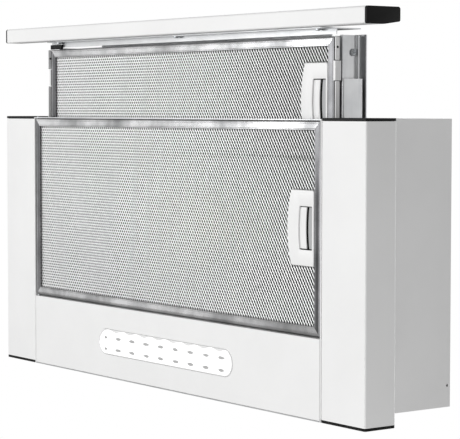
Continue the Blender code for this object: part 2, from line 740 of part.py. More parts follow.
def build_outlet(plastic, steel, flap_front, flap_rear):
    """Outlet collar, its pin and two non-return flaps."""
    base = BODY_TOP + GAP
    inner = COLLAR_RADIUS - COLLAR_WALL
    lip = inner - LIP_DEPTH
    profile = [
        (lip, LIP_TOP - LIP_THICK), (inner, LIP_TOP - LIP_THICK), (inner, base), (COLLAR_FLANGE, base),
        (COLLAR_FLANGE, base + FLANGE_THICK), (COLLAR_RADIUS, base + FLANGE_THICK),
        (COLLAR_RADIUS, COLLAR_TOP - COLLAR_EDGE), (COLLAR_RADIUS - COLLAR_EDGE, COLLAR_TOP),
        (inner, COLLAR_TOP), (inner, LIP_TOP), (lip, LIP_TOP),
    ]
    lathe("outlet_collar", profile, "Z", (0, OUTLET_Y), plastic)
    reach = inner - GAP
    profile = [(FLAP_PIN_RADIUS, -reach), (FLAP_PIN_RADIUS, reach)]
    turned("flap_pin", profile, "X", (OUTLET_Y, FLAP_PIN_Z), steel, steps=SMALL_STEPS)
    flap_radius = inner - FLAP_CLEAR
    low = LIP_TOP + GAP
    for side, name, joint in ((-1, "outlet_flap_front", flap_front), (1, "outlet_flap_rear", flap_rear)):
        first = math.asin(FLAP_EDGE / flap_radius)
        outline = []
        for step in range(ROUND_STEPS // 2 + 1):
            angle = first + (math.pi - 2 * first) * step / (ROUND_STEPS // 2)
            outline.append((flap_radius * math.cos(angle), OUTLET_Y + side * flap_radius * math.sin(angle)))
        loft(name, [(outline, low), (outline, low + FLAP_THICK)], "Z", plastic, joint)


def build_electrics(plastic, dark, metal):
    """Wiring box under the roof, the run capacitor and the cable gland."""
    top = BODY_TOP - SHEET - GAP
    outer = rounded(rectangle(*BOX_X, *BOX_Y, BOX_CORNER))
    inner = rounded(inset(rectangle(*BOX_X, *BOX_Y, BOX_CORNER), BOX_WALL))
    rings = [(inner, top - BOX_WALL), (inner, BOX_LOW), (outer, BOX_LOW), (outer, top)]
    box = loft("wiring_box", rings, "Z", plastic, smooth=True)
    hole = ((GLAND_X, GLAND_Y), GLAND_THREAD + HOLE_PLAY, top - 2 * BOX_WALL, top + BOX_WALL)
    drill(box, "box_gland_cut", "Z", [hole])
    centre = (sum(BOX_Y) / 2, BOX_LOW - GAP - CAPACITOR_RADIUS)
    middle = sum(BOX_X) / 2
    reach = CAPACITOR_LENGTH / 2
    tip = CAPACITOR_RADIUS - CAPACITOR_EDGE
    ends = [
        (tip, middle - reach), (CAPACITOR_RADIUS, middle - reach + CAPACITOR_EDGE),
        (CAPACITOR_RADIUS, middle + reach - CAPACITOR_EDGE), (tip, middle + reach),
    ]
    turned("run_capacitor", ends, "X", centre, metal)
    base = BODY_TOP + GAP
    profile = [
        (GLAND_BORE, top - GLAND_TAIL), (GLAND_THREAD, top - GLAND_TAIL), (GLAND_THREAD, base),
        (GLAND_HEAD, base), (GLAND_HEAD, base + GLAND_NUT), (GLAND_THREAD, base + GLAND_DOME),
        (GLAND_THREAD - GLAND_TAPER, base + GLAND_RISE), (GLAND_BORE, base + GLAND_RISE),
    ]
    lathe("cable_gland", profile, "Z", (GLAND_X, GLAND_Y), dark, steps=SMALL_STEPS * 2)


def channel(name, web_out, web_in, open_to, z_range, y_range, material, joint=None):
    """Slide member: a C channel along Y whose flanges reach from its web to open_to."""
    low, high = z_range
    outline = [
        (web_out, low), (open_to, low), (open_to, low + SLIDE_SHEET), (web_in, low + SLIDE_SHEET),
        (web_in, high - SLIDE_SHEET), (open_to, high - SLIDE_SHEET), (open_to, high), (web_out, high),
    ]
    return loft(name, [(outline, y_range[0]), (outline, y_range[1])], "Y", material, joint)


def build_slides(side, word, steel, drawer, middle):
    """Three nested slide members on one side."""
    low, high = SLIDE_DRAWER_Z
    web = DRAWER_SIDE + GAP
    front = DRAWER_FRONT + SLIDE_FRONT
    inner = channel(
        word + "_drawer_slide", side * web, side * (web + SLIDE_SHEET), side * (web + SLIDE_LIP),
        (low, high), (front, front + SLIDE_LENGTH), steel, drawer,
    )
    reach = sorted((side * (web - SHEET), side * (web + 2 * SLIDE_SHEET)))
    holes = []
    for back in (SLIDE_SCREW_FROM_FRONT, SLIDE_SPARE_HOLE_FROM_FRONT):
        holes.append(((front + back, SLIDE_SCREW_Z), SCREW_SHANK + HOLE_PLAY, *reach))
    drill(inner, word + "_slide_screw_cut", "X", holes)
    web = DRAWER_SIDE + MIDDLE_WEB
    front = BODY_FRONT + SLIDE_SETBACK - PULL / 2
    channel(
        word + "_middle_slide", side * web, side * (web - SLIDE_SHEET), side * (web - MIDDLE_LIP),
        (low - SLIDE_STEP_Z, high + SLIDE_STEP_Z), (front, front + SLIDE_LENGTH), steel, middle,
    )
    web = WALL_IN - GAP
    front = BODY_FRONT + SLIDE_SETBACK
    channel(
        word + "_body_slide", side * web, side * (web - SLIDE_SHEET), side * (web - BODY_LIP),
        (low - 2 * SLIDE_STEP_Z, high + 2 * SLIDE_STEP_Z), (front, front + BODY_SLIDE_LENGTH), steel,
    )


def build_drawer_frame(steel, dark, plastic, drawer):
    """Drawer box with its screws, corner block and stop clips."""
    back = DRAWER_REAR
    web = DRAWER_FRONT + SHEET
    size = (-DRAWER_SIDE, DRAWER_SIDE, DRAWER_FRONT, back, WEB_LOW, DRAWER_TOP)
    frame = boxes("drawer_frame", [size], steel, drawer)
    inside = DRAWER_SIDE - SHEET
    low = WEB_LOW - FLANGE
    cut_boxes(frame, "drawer_inside_cut", [(-inside, inside, web, back + FLANGE, low, DRAWER_TOP - SHEET)])
    cut_boxes(frame, "drawer_low_cut", [(-WIDTH, WIDTH, web, back + FLANGE, low, SIDE_PLATE_LOW)])
    notches = []
    notch_rear = DRAWER_FRONT + DRAWER_SIDE_FRONT
    for side in (-1, 1):
        x0, x1 = sorted((side * DRAWER_NOTCH_X, side * (DRAWER_SIDE + SHEET)))
        notches.append((x0, x1, web, notch_rear, SIDE_PLATE_LOW - SHEET, DRAWER_TOP + SHEET))
    cut_boxes(frame, "drawer_notch_cut", notches)
    added = bmesh.new()
    add_box(added, -STRIP_HALF, STRIP_HALF, web - SHEET / 2, web + STRIP_DEPTH, STRIP_Z, STRIP_Z + SHEET)
    flange = DRAWER_SIDE + DRAWER_FLANGE
    add_box(added, -flange, flange, DRAWER_FRONT + DRAWER_ROOF_FRONT, back, DRAWER_TOP - SHEET, DRAWER_TOP)
    combine(frame, new_object("drawer_strip_and_roof", added), "UNION")
    spots = [(x, BAR_SCREW_Z) for x in (-BAR_SCREW_X, 0.0, BAR_SCREW_X)]
    holes = [(spot, SCREW_SHANK + HOLE_PLAY, DRAWER_FRONT - SHEET, web + SHEET) for spot in spots]
    drill(frame, "web_hole_cut", "Y", holes)
    slide_front = DRAWER_FRONT + SLIDE_FRONT
    for side, word in ((-1, "left"), (1, "right")):
        reach = sorted((side * (DRAWER_SIDE - 2 * SHEET), side * (DRAWER_SIDE + SHEET)))
        spot = (slide_front + SLIDE_SCREW_FROM_FRONT, SLIDE_SCREW_Z)
        drill(frame, word + "_plate_hole_cut", "X", [(spot, SCREW_SHANK + HOLE_PLAY, *reach)])

    head = web + GAP + BAR_SCREW_HEIGHT
    size = (BAR_SCREW_HEIGHT, BAR_SCREW_REACH, SCREW_HEAD, SCREW_SHANK, -1)
    names = ("bar_screw_left", "bar_screw_middle", "bar_screw_right")
    screws(names, "Y", [screw_rings(spot, head, *size) for spot in spots], steel, drawer)
    runs = []
    seat = DRAWER_SIDE + GAP + SLIDE_SHEET + GAP
    for side in (-1, 1):
        size = (SLIDE_SCREW_HEIGHT, SLIDE_SCREW_REACH, SCREW_HEAD, SCREW_SHANK, -side)
        spot = (slide_front + SLIDE_SCREW_FROM_FRONT, SLIDE_SCREW_Z)
        runs.append(screw_rings(spot, side * (seat + SLIDE_SCREW_HEIGHT), *size))
    screws(("slide_screw_left", "slide_screw_right"), "X", runs, steel, drawer)

    x0, x1, depth, height = CORNER_BLOCK
    start = head + GAP
    top = STRIP_Z - GAP
    boxes("bar_corner_block", [(x0, x1, start, start + depth, top - height, top)], dark, drawer)
    start = DRAWER_FRONT + CLIP_FROM_BAR
    for side, word in ((-1, "left"), (1, "right")):
        seat = DRAWER_FILTER_HALF + GAP
        x0, x1 = sorted((side * seat, side * (seat + CLIP_THICK)))
        low = DRAWER_FILTER_LOW - CLIP_DROP
        size = (x0, x1, start, start + CLIP_LENGTH, low, low + CLIP_HEIGHT)
        boxes("drawer_stop_clip_" + word, [size], plastic, drawer)


def bar_corners():
    """Corners of the front bar's section."""
    front = BAR_REAR - BAR_DEPTH
    top = UNDERSIDE + BAR_HEIGHT
    return [
        (front, UNDERSIDE, BAR_CORNER), (BAR_REAR, UNDERSIDE, BAR_CORNER * 0.75),
        (BAR_REAR, UNDERSIDE + BAR_SLANT_START, BAR_CORNER),
        (front + BAR_TOP_DEPTH, top, BAR_CORNER * 0.75), (front, top, BAR_CORNER),
    ]


def build_bar(paint, plastic, drawer):
    """Front bar and its two end caps."""
    outer = rounded(bar_corners())
    inner = rounded(inset(bar_corners(), BAR_WALL))
    plug = rounded(inset(bar_corners(), BAR_WALL + GAP))
    hollow = rounded(inset(bar_corners(), BAR_WALL + GAP + CAP_WALL))
    end = WIDTH / 2 - CAP_PLATE - GAP
    rings = [(outer, -end), (outer, end), (inner, end), (inner, -end)]
    bar = loft("front_bar", rings, "X", paint, drawer, loop=True, smooth=True)
    spots = [(x, BAR_SCREW_Z) for x in (-BAR_SCREW_X, 0.0, BAR_SCREW_X)]
    holes = [(spot, SCREW_SHANK + HOLE_PLAY, BAR_REAR - 2 * BAR_WALL, BAR_REAR + SHEET) for spot in spots]
    drill(bar, "bar_hole_cut", "Y", holes)
    front = BAR_REAR - BAR_DEPTH
    along, up = WINDOW_INSET
    window = (PLATE_X[0] + along, PLATE_X[1] - along, front - SHEET, front + BAR_WALL + SHEET)
    cut_boxes(bar, "control_window_cut", [(*window, PLATE_Z[0] + up, PLATE_Z[1] - up)])
    for side, word in ((-1, "left"), (1, "right")):
        outside = side * WIDTH / 2
        seat = outside - side * CAP_PLATE
        tip = seat - side * CAP_PLUG
        rings = [(outer, outside), (outer, seat), (plug, seat), (plug, tip), (hollow, tip), (hollow, seat)]
        loft("bar_cap_" + word, rings, "X", plastic, drawer, smooth=True)


def build_controls(dark, light, drawer, fan_joint, lamp_joint):
    """Control plate behind the window in the bar's front, with its two low sliding knobs."""
    face = BAR_REAR - BAR_DEPTH + BAR_WALL + GAP
    seat = face + PLATE_THICK
    outline = rounded(rectangle(*PLATE_X, *PLATE_Z, PLATE_CORNER))
    plate = loft("control_plate", [(outline, face), (outline, seat)], "Y", dark, drawer, smooth=True)
    slots = []
    for x, travel in ((FAN_KNOB_X, FAN_KNOB_TRAVEL), (LAMP_KNOB_X, LAMP_KNOB_TRAVEL)):
        half = STEM_WIDTH / 2 + KNOB_PLAY
        tall = STEM_HEIGHT / 2 + KNOB_PLAY
        deep = (face - SHEET, seat + SHEET)
        slots.append((x - half, x + travel + half, *deep, KNOB_Z - tall, KNOB_Z + tall))
    cut_boxes(plate, "knob_slot_cut", slots)
    inside = seat + KNOB_PLAY
    knobs = ((FAN_KNOB_X, "fan_speed_knob", fan_joint), (LAMP_KNOB_X, "lamp_knob", lamp_joint))
    for x, name, joint in knobs:
        stem = knob_outline(x, STEM_WIDTH, STEM_HEIGHT)
        cap = knob_outline(x, KNOB_WIDTH, KNOB_HEIGHT)
        tip = knob_outline(x, KNOB_WIDTH - 2 * KNOB_EDGE, KNOB_HEIGHT - 2 * KNOB_EDGE)
        grip = face - GAP
        rings = [
            (cap, inside + FOOT_DEPTH), (cap, inside), (stem, inside), (stem, grip), (cap, grip),
            (cap, grip - KNOB_DEPTH + KNOB_EDGE), (tip, grip - KNOB_DEPTH),
        ]
        loft(name, rings, "Y", light, joint)


def knob_outline(x, width, height):
    """Rectangular knob section centred on the knob line."""
    return flat(x - width / 2, x + width / 2, KNOB_Z - height / 2, KNOB_Z + height / 2)


def latch_outline(right, y, grow):
    """Latch plate: straight on three sides, bowed outward on the left."""
    left = right - LATCH_WIDTH - grow
    half = LATCH_LENGTH / 2 + grow
    radius = (half**2 + LATCH_BULGE**2) / (2 * LATCH_BULGE)
    centre = left - LATCH_BULGE + radius
    sweep = math.asin(half / radius)
    points = [(right + grow, y - half), (right + grow, y + half)]
    for step in range(BOW_STEPS + 1):
        angle = math.pi - sweep + 2 * sweep * step / BOW_STEPS
        points.append((centre + radius * math.cos(angle), y + radius * math.sin(angle)))
    return points


def build_filter(word, sizes, finishes, joint, latch_joint):
    """Framed grease filter with its latch. Sizes: half width, front, rear, low, thickness, skin."""
    half, front, rear, low, thick, skin = sizes
    frame_metal, mesh_metal, white, light = finishes
    top = low + thick
    y = (front + rear) / 2
    right = half - BORDER - GAP
    frame = boxes(word + "_filter_frame", [(-half, half, front, rear, low, top)], frame_metal, joint)
    inner = half - BORDER
    hole = (-inner, inner, front + BORDER, rear - BORDER, low - skin, top + skin)
    groove_half = half - FILTER_WALL
    groove = (-groove_half, groove_half, front + FILTER_WALL, rear - FILTER_WALL, low + skin, top - skin)
    cut_boxes(frame, word + "_frame_cut", [hole])
    cut_boxes(frame, word + "_groove_cut", [groove])
    tongue_low = low + skin + TONGUE_RISE
    tongue_top = tongue_low + TONGUE_THICK
    wide_y = (y - TONGUE_HALF - TONGUE_PLAY, y + TONGUE_HALF + TONGUE_PLAY)
    wide_z = (tongue_low - TONGUE_PLAY, tongue_top + TONGUE_PLAY)
    cut_boxes(frame, word + "_tongue_cut", [(half - 2 * FILTER_WALL, half + SHEET, *wide_y, *wide_z)])

    edge = groove_half - GAP
    slab_y = (front + FILTER_WALL + GAP, rear - FILTER_WALL - GAP)
    slab = (-edge, edge, *slab_y, low + skin + GAP, top - skin - GAP)
    mesh = boxes(word + "_filter_mesh", [slab], mesh_metal, joint)
    wide = latch_outline(right, y, GAP)
    notch = [(half, wide[0][1]), (half, wide[1][1])] + wide[2:]
    cut_lofts(mesh, word + "_notch_cut", [([(notch, low), (notch, top)], "Z")])

    face = low - LATCH_PROUD
    outline = latch_outline(right, y, 0)
    housing = loft(word + "_latch_housing", [(outline, face), (outline, top)], "Z", white, joint)
    slot_right = right - SLOT_EDGE
    slot_left = slot_right - SLOT_WIDTH
    slot_half = SLOT_LENGTH / 2
    window = (slot_left, slot_right, y - slot_half, y + slot_half, face - SHEET, face + 2 * SHEET)
    cavity_low = face + LATCH_FACE
    cavity_left = slot_left - SLIDER_TRAVEL - POCKET_PLAY
    cavity = (cavity_left, slot_right, y - slot_half, y + slot_half, cavity_low, top - LATCH_FACE)
    cut_boxes(housing, word + "_window_cut", [window])
    cut_boxes(housing, word + "_cavity_cut", [cavity])
    cut_boxes(housing, word + "_exit_cut", [(slot_right - SHEET, right + SHEET, *wide_y, *wide_z)])

    plate_left = slot_left - PLATE_SHIFT
    plate_right = plate_left + SLIDER_WIDTH
    plate_half = slot_half - PLATE_PLAY
    plate_low = cavity_low + GAP
    slider_outline = [
        (plate_left, plate_low), (plate_right, plate_low), (plate_right, tongue_low),
        (half - TONGUE_GAP, tongue_low), (half - TONGUE_GAP, tongue_top), (plate_left, tongue_top),
    ]
    rings = [(slider_outline, y - plate_half), (slider_outline, y + plate_half)]
    slider = loft(word + "_latch_slider", rings, "Y", light, latch_joint)
    sides = []
    for low_y, high_y in ((y - half, y - TONGUE_HALF), (y + TONGUE_HALF, y + half)):
        sides.append((plate_right, half + SHEET, low_y, high_y, low, top))
    cut_boxes(slider, word + "_tongue_side_cut", sides)


def build_filter_pins(steel, joint):
    """Two pins that the main filter swings on, at its front and rear left corners."""
    outline = circle(HINGE_X, HINGE_Z, PIN_RADIUS, SMALL_STEPS)
    for start, reach, name in (
        (MAIN_FRONT - GAP, -PIN_FRONT_REACH, "filter_front_pin"),
        (MAIN_REAR + GAP, PIN_REAR_REACH, "filter_rear_pin"),
    ):
        loft(name, [(outline, start), (outline, start + reach)], "Y", steel, joint, smooth=True)


def main():
    """Build the whole hood."""
    clear_scene()
    white_paint = finish("white_paint", (0.80, 0.80, 0.79), 0.35, 0.0)
    black_plastic = finish("black_plastic", (0.02, 0.02, 0.02), 0.45, 0.0)
    grey_plastic = finish("grey_plastic", (0.30, 0.31, 0.32), 0.5, 0.0)
    white_plastic = finish("white_plastic", (0.82, 0.82, 0.80), 0.4, 0.0)
    zinc_steel = finish("zinc_steel", (0.62, 0.63, 0.65), 0.35, 1.0)
    aluminium = finish("aluminium", (0.80, 0.80, 0.80), 0.3, 1.0)
    mesh_aluminium = finish("mesh_aluminium", (0.66, 0.66, 0.66), 0.45, 1.0)
    lens_plastic = finish("lens_plastic", (0.95, 0.95, 0.93), 0.25, 0.0)
    board_green = finish("board_green", (0.04, 0.20, 0.08), 0.5, 0.0)
    motor_steel = finish("motor_steel", (0.35, 0.36, 0.37), 0.4, 1.0)

    drawer = pivot("drawer_joint", (0, BAR_REAR, 0))
    middle = pivot("middle_joint", (0, BODY_FRONT - PULL / 2, 0))
    fan = pivot("fan_joint", (0, FAN_Y, FAN_Z))
    flap_front = pivot("flap_front_joint", (0, OUTLET_Y, FLAP_PIN_Z))
    flap_rear = pivot("flap_rear_joint", (0, OUTLET_Y, FLAP_PIN_Z))
    filter_y = (MAIN_FRONT + MAIN_REAR) / 2
    swing = pivot("filter_joint", (HINGE_X, filter_y, HINGE_Z))
    main_latch = pivot("main_latch_joint", (MAIN_HALF, filter_y, MAIN_LOW), swing)
    drawer_rear = DRAWER_FILTER_FRONT + DRAWER_FILTER_LENGTH
    latch_y = (DRAWER_FILTER_FRONT + drawer_rear) / 2
    drawer_latch = pivot("drawer_latch_joint", (DRAWER_FILTER_HALF, latch_y, DRAWER_FILTER_LOW), drawer)
    knob_y = BAR_REAR - BAR_DEPTH
    fan_knob = pivot("fan_knob_joint", (FAN_KNOB_X, knob_y, KNOB_Z), drawer)
    lamp_knob = pivot("lamp_knob_joint", (LAMP_KNOB_X, knob_y, KNOB_Z), drawer)

    build_housing(white_paint)
    for side, word in ((-1, "left"), (1, "right")):
        build_rail(side, word, white_paint, black_plastic)
        build_blower_half(side, word, grey_plastic)
        build_slides(side, word, zinc_steel, drawer, middle)
    build_light(white_paint, lens_plastic, white_plastic, board_green)
    build_fan(black_plastic, zinc_steel, fan)
    build_motor(motor_steel, zinc_steel)
    build_outlet(black_plastic, zinc_steel, flap_front, flap_rear)
    build_electrics(grey_plastic, black_plastic, aluminium)
    build_drawer_frame(zinc_steel, black_plastic, white_plastic, drawer)
    build_bar(white_paint, black_plastic, drawer)
    build_controls(black_plastic, white_plastic, drawer, fan_knob, lamp_knob)
    finishes = (aluminium, mesh_aluminium, white_plastic, white_plastic)
    sizes = (MAIN_HALF, MAIN_FRONT, MAIN_REAR, MAIN_LOW, MAIN_THICK, MAIN_SKIN)
    build_filter("main", sizes, finishes, swing, main_latch)
    sizes = (
        DRAWER_FILTER_HALF, DRAWER_FILTER_FRONT, drawer_rear, DRAWER_FILTER_LOW, DRAWER_FILTER_THICK,
        DRAWER_SKIN,
    )
    build_filter("drawer", sizes, finishes, drawer, drawer_latch)
    build_filter_pins(zinc_steel, swing)


main()
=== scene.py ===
"""Looks of a slide-out range hood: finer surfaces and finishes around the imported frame.

All sizes are metres in the hood's own frame: +X to its right, -Y out to the front, +Z up. The origin
is on the wall plane at the height of the side rails' top faces.
"""

import json
import logging
import math
from dataclasses import dataclass, field
from enum import Enum

import bpy
import numpy as np
from mathutils import Matrix, Vector

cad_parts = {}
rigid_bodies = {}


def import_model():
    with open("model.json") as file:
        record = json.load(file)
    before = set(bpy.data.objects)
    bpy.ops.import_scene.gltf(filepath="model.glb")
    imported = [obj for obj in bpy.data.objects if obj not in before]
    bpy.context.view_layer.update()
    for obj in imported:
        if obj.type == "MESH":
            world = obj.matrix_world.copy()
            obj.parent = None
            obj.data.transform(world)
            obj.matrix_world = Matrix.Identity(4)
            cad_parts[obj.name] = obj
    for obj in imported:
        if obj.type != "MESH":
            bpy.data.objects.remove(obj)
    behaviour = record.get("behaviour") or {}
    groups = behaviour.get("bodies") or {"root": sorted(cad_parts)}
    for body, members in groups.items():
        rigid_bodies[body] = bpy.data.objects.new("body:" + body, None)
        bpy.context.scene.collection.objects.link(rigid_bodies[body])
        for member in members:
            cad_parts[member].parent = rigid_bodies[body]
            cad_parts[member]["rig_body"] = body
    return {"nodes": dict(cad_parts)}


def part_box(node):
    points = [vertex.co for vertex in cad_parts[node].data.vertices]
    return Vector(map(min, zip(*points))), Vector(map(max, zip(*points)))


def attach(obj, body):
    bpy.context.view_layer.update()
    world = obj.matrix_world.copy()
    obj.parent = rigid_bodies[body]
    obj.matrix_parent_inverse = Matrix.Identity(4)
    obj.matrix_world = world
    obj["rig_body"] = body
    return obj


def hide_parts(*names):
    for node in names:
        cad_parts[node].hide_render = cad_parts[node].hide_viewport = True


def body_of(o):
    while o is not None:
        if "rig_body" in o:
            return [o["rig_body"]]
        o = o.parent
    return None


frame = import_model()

LOG = logging.getLogger("hood")
MM = 0.001
# Room on both sides of zero in the whole numbers that name a rim point, and the step between rows.
KEY_ROOM = 5000
KEY_STEP = 100000
# How far the mesh and its pack reach in behind a filter frame's lip.
HIDDEN_UNDER_FRAME = 3.0 * MM
# Edges that turn more than this stay sharp.
SHARP_ANGLE = math.radians(32)
# A zinc flower is this many times as wide as the fine pattern over it.
SPANGLE_SIZE = 12
# How much of a flower's own height is added to the fine pattern.
SPANGLE_SHARE = 0.35


def srgb(code: str) -> tuple[float, float, float, float]:
    """Turn an sRGB hex colour into linear RGBA.

    Args:
        code: six hex digits, such as "F2F2F0".

    Returns:
        Linear red, green, blue and an alpha of 1.
    """
    values = np.array([int(code[i : i + 2], 16) for i in (0, 2, 4)]) / 255
    linear = np.where(values <= 0.04045, values / 12.92, ((values + 0.055) / 1.055) ** 2.4)
    return (float(linear[0]), float(linear[1]), float(linear[2]), 1.0)


def add_node(
    tree: bpy.types.NodeTree,
    kind: str,
    settings: dict | None = None,
    links: dict | None = None,
) -> bpy.types.Node:
    """Add one node to a tree.

    Args:
        tree: the node tree that gets it.
        kind: the node's type name.
        settings: values by property name, input name or input number.
        links: output sockets by input name or input number.

    Returns:
        The new node.
    """
    node = tree.nodes.new(kind)
    for key, value in (settings or {}).items():
        if isinstance(key, int) or (key in node.inputs and not hasattr(node, key)):
            node.inputs[key].default_value = value
        else:
            setattr(node, key, value)
    for key, socket in (links or {}).items():
        tree.links.new(socket, node.inputs[key])
    return node


def new_material(name: str) -> tuple[bpy.types.Material, bpy.types.NodeTree, bpy.types.NodeSocket]:
    """Start a node material.

    Args:
        name: common name of the material.

    Returns:
        The material, its tree and the socket of the Object coordinates.
    """
    made = bpy.data.materials.new(name)
    made.use_nodes = True
    place = add_node(made.node_tree, "ShaderNodeTexCoord")
    return made, made.node_tree, place.outputs["Object"]


def apply_math(tree: bpy.types.NodeTree, operation: str, *values: object) -> bpy.types.NodeSocket:
    """Put numbers and sockets through one Math node.

    Args:
        tree: the material's tree.
        operation: the node's operation.
        values: its inputs in order.

    Returns:
        The result's socket.
    """
    held = dict(enumerate(values))
    settings = {k: v for k, v in held.items() if not isinstance(v, bpy.types.NodeSocket)}
    links = {k: v for k, v in held.items() if isinstance(v, bpy.types.NodeSocket)}
    made = add_node(tree, "ShaderNodeMath", {"operation": operation, **settings}, links)
    return made.outputs[0]


def colour_between(tree: bpy.types.NodeTree, first: str, second: str, share: bpy.types.NodeSocket) -> None:
    """Colour the surface between two colours.

    Args:
        tree: the material's tree.
        first: sRGB hex where the share is 0.
        second: sRGB hex where the share is 1.
        share: socket of the second colour's share.
    """
    mix = add_node(
        tree, "ShaderNodeMix", {"data_type": "RGBA", 6: srgb(first), 7: srgb(second)}, {0: share}
    )
    tree.links.new(mix.outputs[2], tree.nodes["Principled BSDF"].inputs["Base Color"])


def raise_by(tree: bpy.types.NodeTree, depth: float, height: bpy.types.NodeSocket) -> None:
    """Bump the surface: a 0 to 1 height socket at full strength over a depth.

    Args:
        tree: the material's tree.
        depth: how deep the pattern is.
        height: socket of the pattern.
    """
    bump = add_node(tree, "ShaderNodeBump", {"Strength": 1.0, "Distance": depth}, {"Height": height})
    tree.links.new(bump.outputs["Normal"], tree.nodes["Principled BSDF"].inputs["Normal"])


class Mark(Enum):
    """What the making of a surface leaves on it."""

    PEEL = "soft ripples of baked powder coat"
    GRAIN = "fine spark-eroded grain of a mould"
    ROLLED_X = "draw lines along X from rolling"
    ROLLED_Y = "draw lines along Y from rolling"
    SPANGLE = "zinc spangle over rolling lines"
    STRAND = "slit and stretched strands"


@dataclass(frozen=True)
class Finish:
    """A surface finish: what it is made of and the marks that its making leaves.

    Attributes:
        name: common name of the material and its surface.
        colour: sRGB hex of the clean surface.
        shade: sRGB hex that the mottling tends to.
        roughness: mean roughness.
        metallic: 1 for bare metal.
        mark: the pattern left by the making.
        mark_mm: size of that pattern.
        depth_mm: depth of that pattern.
        spread: how far roughness varies with the pattern.
        mottle_mm: size of the slow change in colour.
        mottle: share of the shade colour at its most.
        specular: dielectric specular level.
        coat: weight of a clear coat.
    """

    name: str
    colour: str
    shade: str
    roughness: float
    metallic: float = 0.0
    mark: Mark = Mark.GRAIN
    mark_mm: float = 0.6
    depth_mm: float = 0.02
    spread: float = 0.06
    mottle_mm: float = 70.0
    mottle: float = 0.25
    specular: float = 0.5
    coat: float = 0.0

    def stretch(self) -> tuple[float, float, float]:
        """How much the mark's pattern is drawn out.

        Returns:
            Frequency factors along X, Y and Z.
        """
        if self.mark is Mark.ROLLED_X:
            return (0.02, 1.0, 1.0)
        if self.mark in (Mark.ROLLED_Y, Mark.SPANGLE):
            return (1.0, 0.02, 1.0)
        return (1.0, 1.0, 1.0)

    def material(self) -> bpy.types.Material:
        """Build the node material.

        Returns:
            A Principled material whose colour, roughness and bump follow Object coordinates.
        """
        made, tree, spot = new_material(self.name)
        shader = tree.nodes["Principled BSDF"]
        shader.inputs["Metallic"].default_value = self.metallic
        shader.inputs["Specular IOR Level"].default_value = self.specular
        shader.inputs["Coat Weight"].default_value = self.coat
        drawn = add_node(tree, "ShaderNodeMapping", {"Scale": self.stretch()}, {"Vector": spot})
        mark = self.mark_nodes(tree, drawn.outputs["Vector"])
        slow = add_node(
            tree, "ShaderNodeTexNoise",
            {"Scale": 1000 / self.mottle_mm, "Detail": 3.0, "Roughness": 0.55}, {"Vector": spot},
        )
        share = add_node(
            tree, "ShaderNodeMapRange",
            {"From Min": 0.35, "From Max": 0.70, "To Min": 0.0, "To Max": self.mottle},
            {"Value": slow.outputs["Fac"]},
        )
        colour_between(tree, self.colour, self.shade, share.outputs["Result"])
        rough = add_node(
            tree, "ShaderNodeMapRange",
            {"To Min": self.roughness - self.spread, "To Max": self.roughness + self.spread},
            {"Value": mark},
        )
        tree.links.new(rough.outputs["Result"], shader.inputs["Roughness"])
        raise_by(tree, self.depth_mm * MM, mark)
        return made

    def mark_nodes(self, tree: bpy.types.NodeTree, spot: bpy.types.NodeSocket) -> bpy.types.NodeSocket:
        """Nodes for the making's pattern.

        Args:
            tree: the material's tree.
            spot: coordinates already drawn out along the working direction.

        Returns:
            A 0 to 1 height socket.
        """
        noise = add_node(
            tree, "ShaderNodeTexNoise",
            {"Scale": 1000 / self.mark_mm, "Detail": 2.0, "Roughness": 0.5}, {"Vector": spot},
        )
        if self.mark is not Mark.SPANGLE:
            return noise.outputs["Fac"]
        flowers = add_node(tree, "ShaderNodeTexVoronoi", {"Scale": 1000 / (self.mark_mm * SPANGLE_SIZE)})
        flower = flowers.outputs["Distance"]
        return apply_math(tree, "MULTIPLY_ADD", flower, SPANGLE_SHARE, noise.outputs["Fac"])


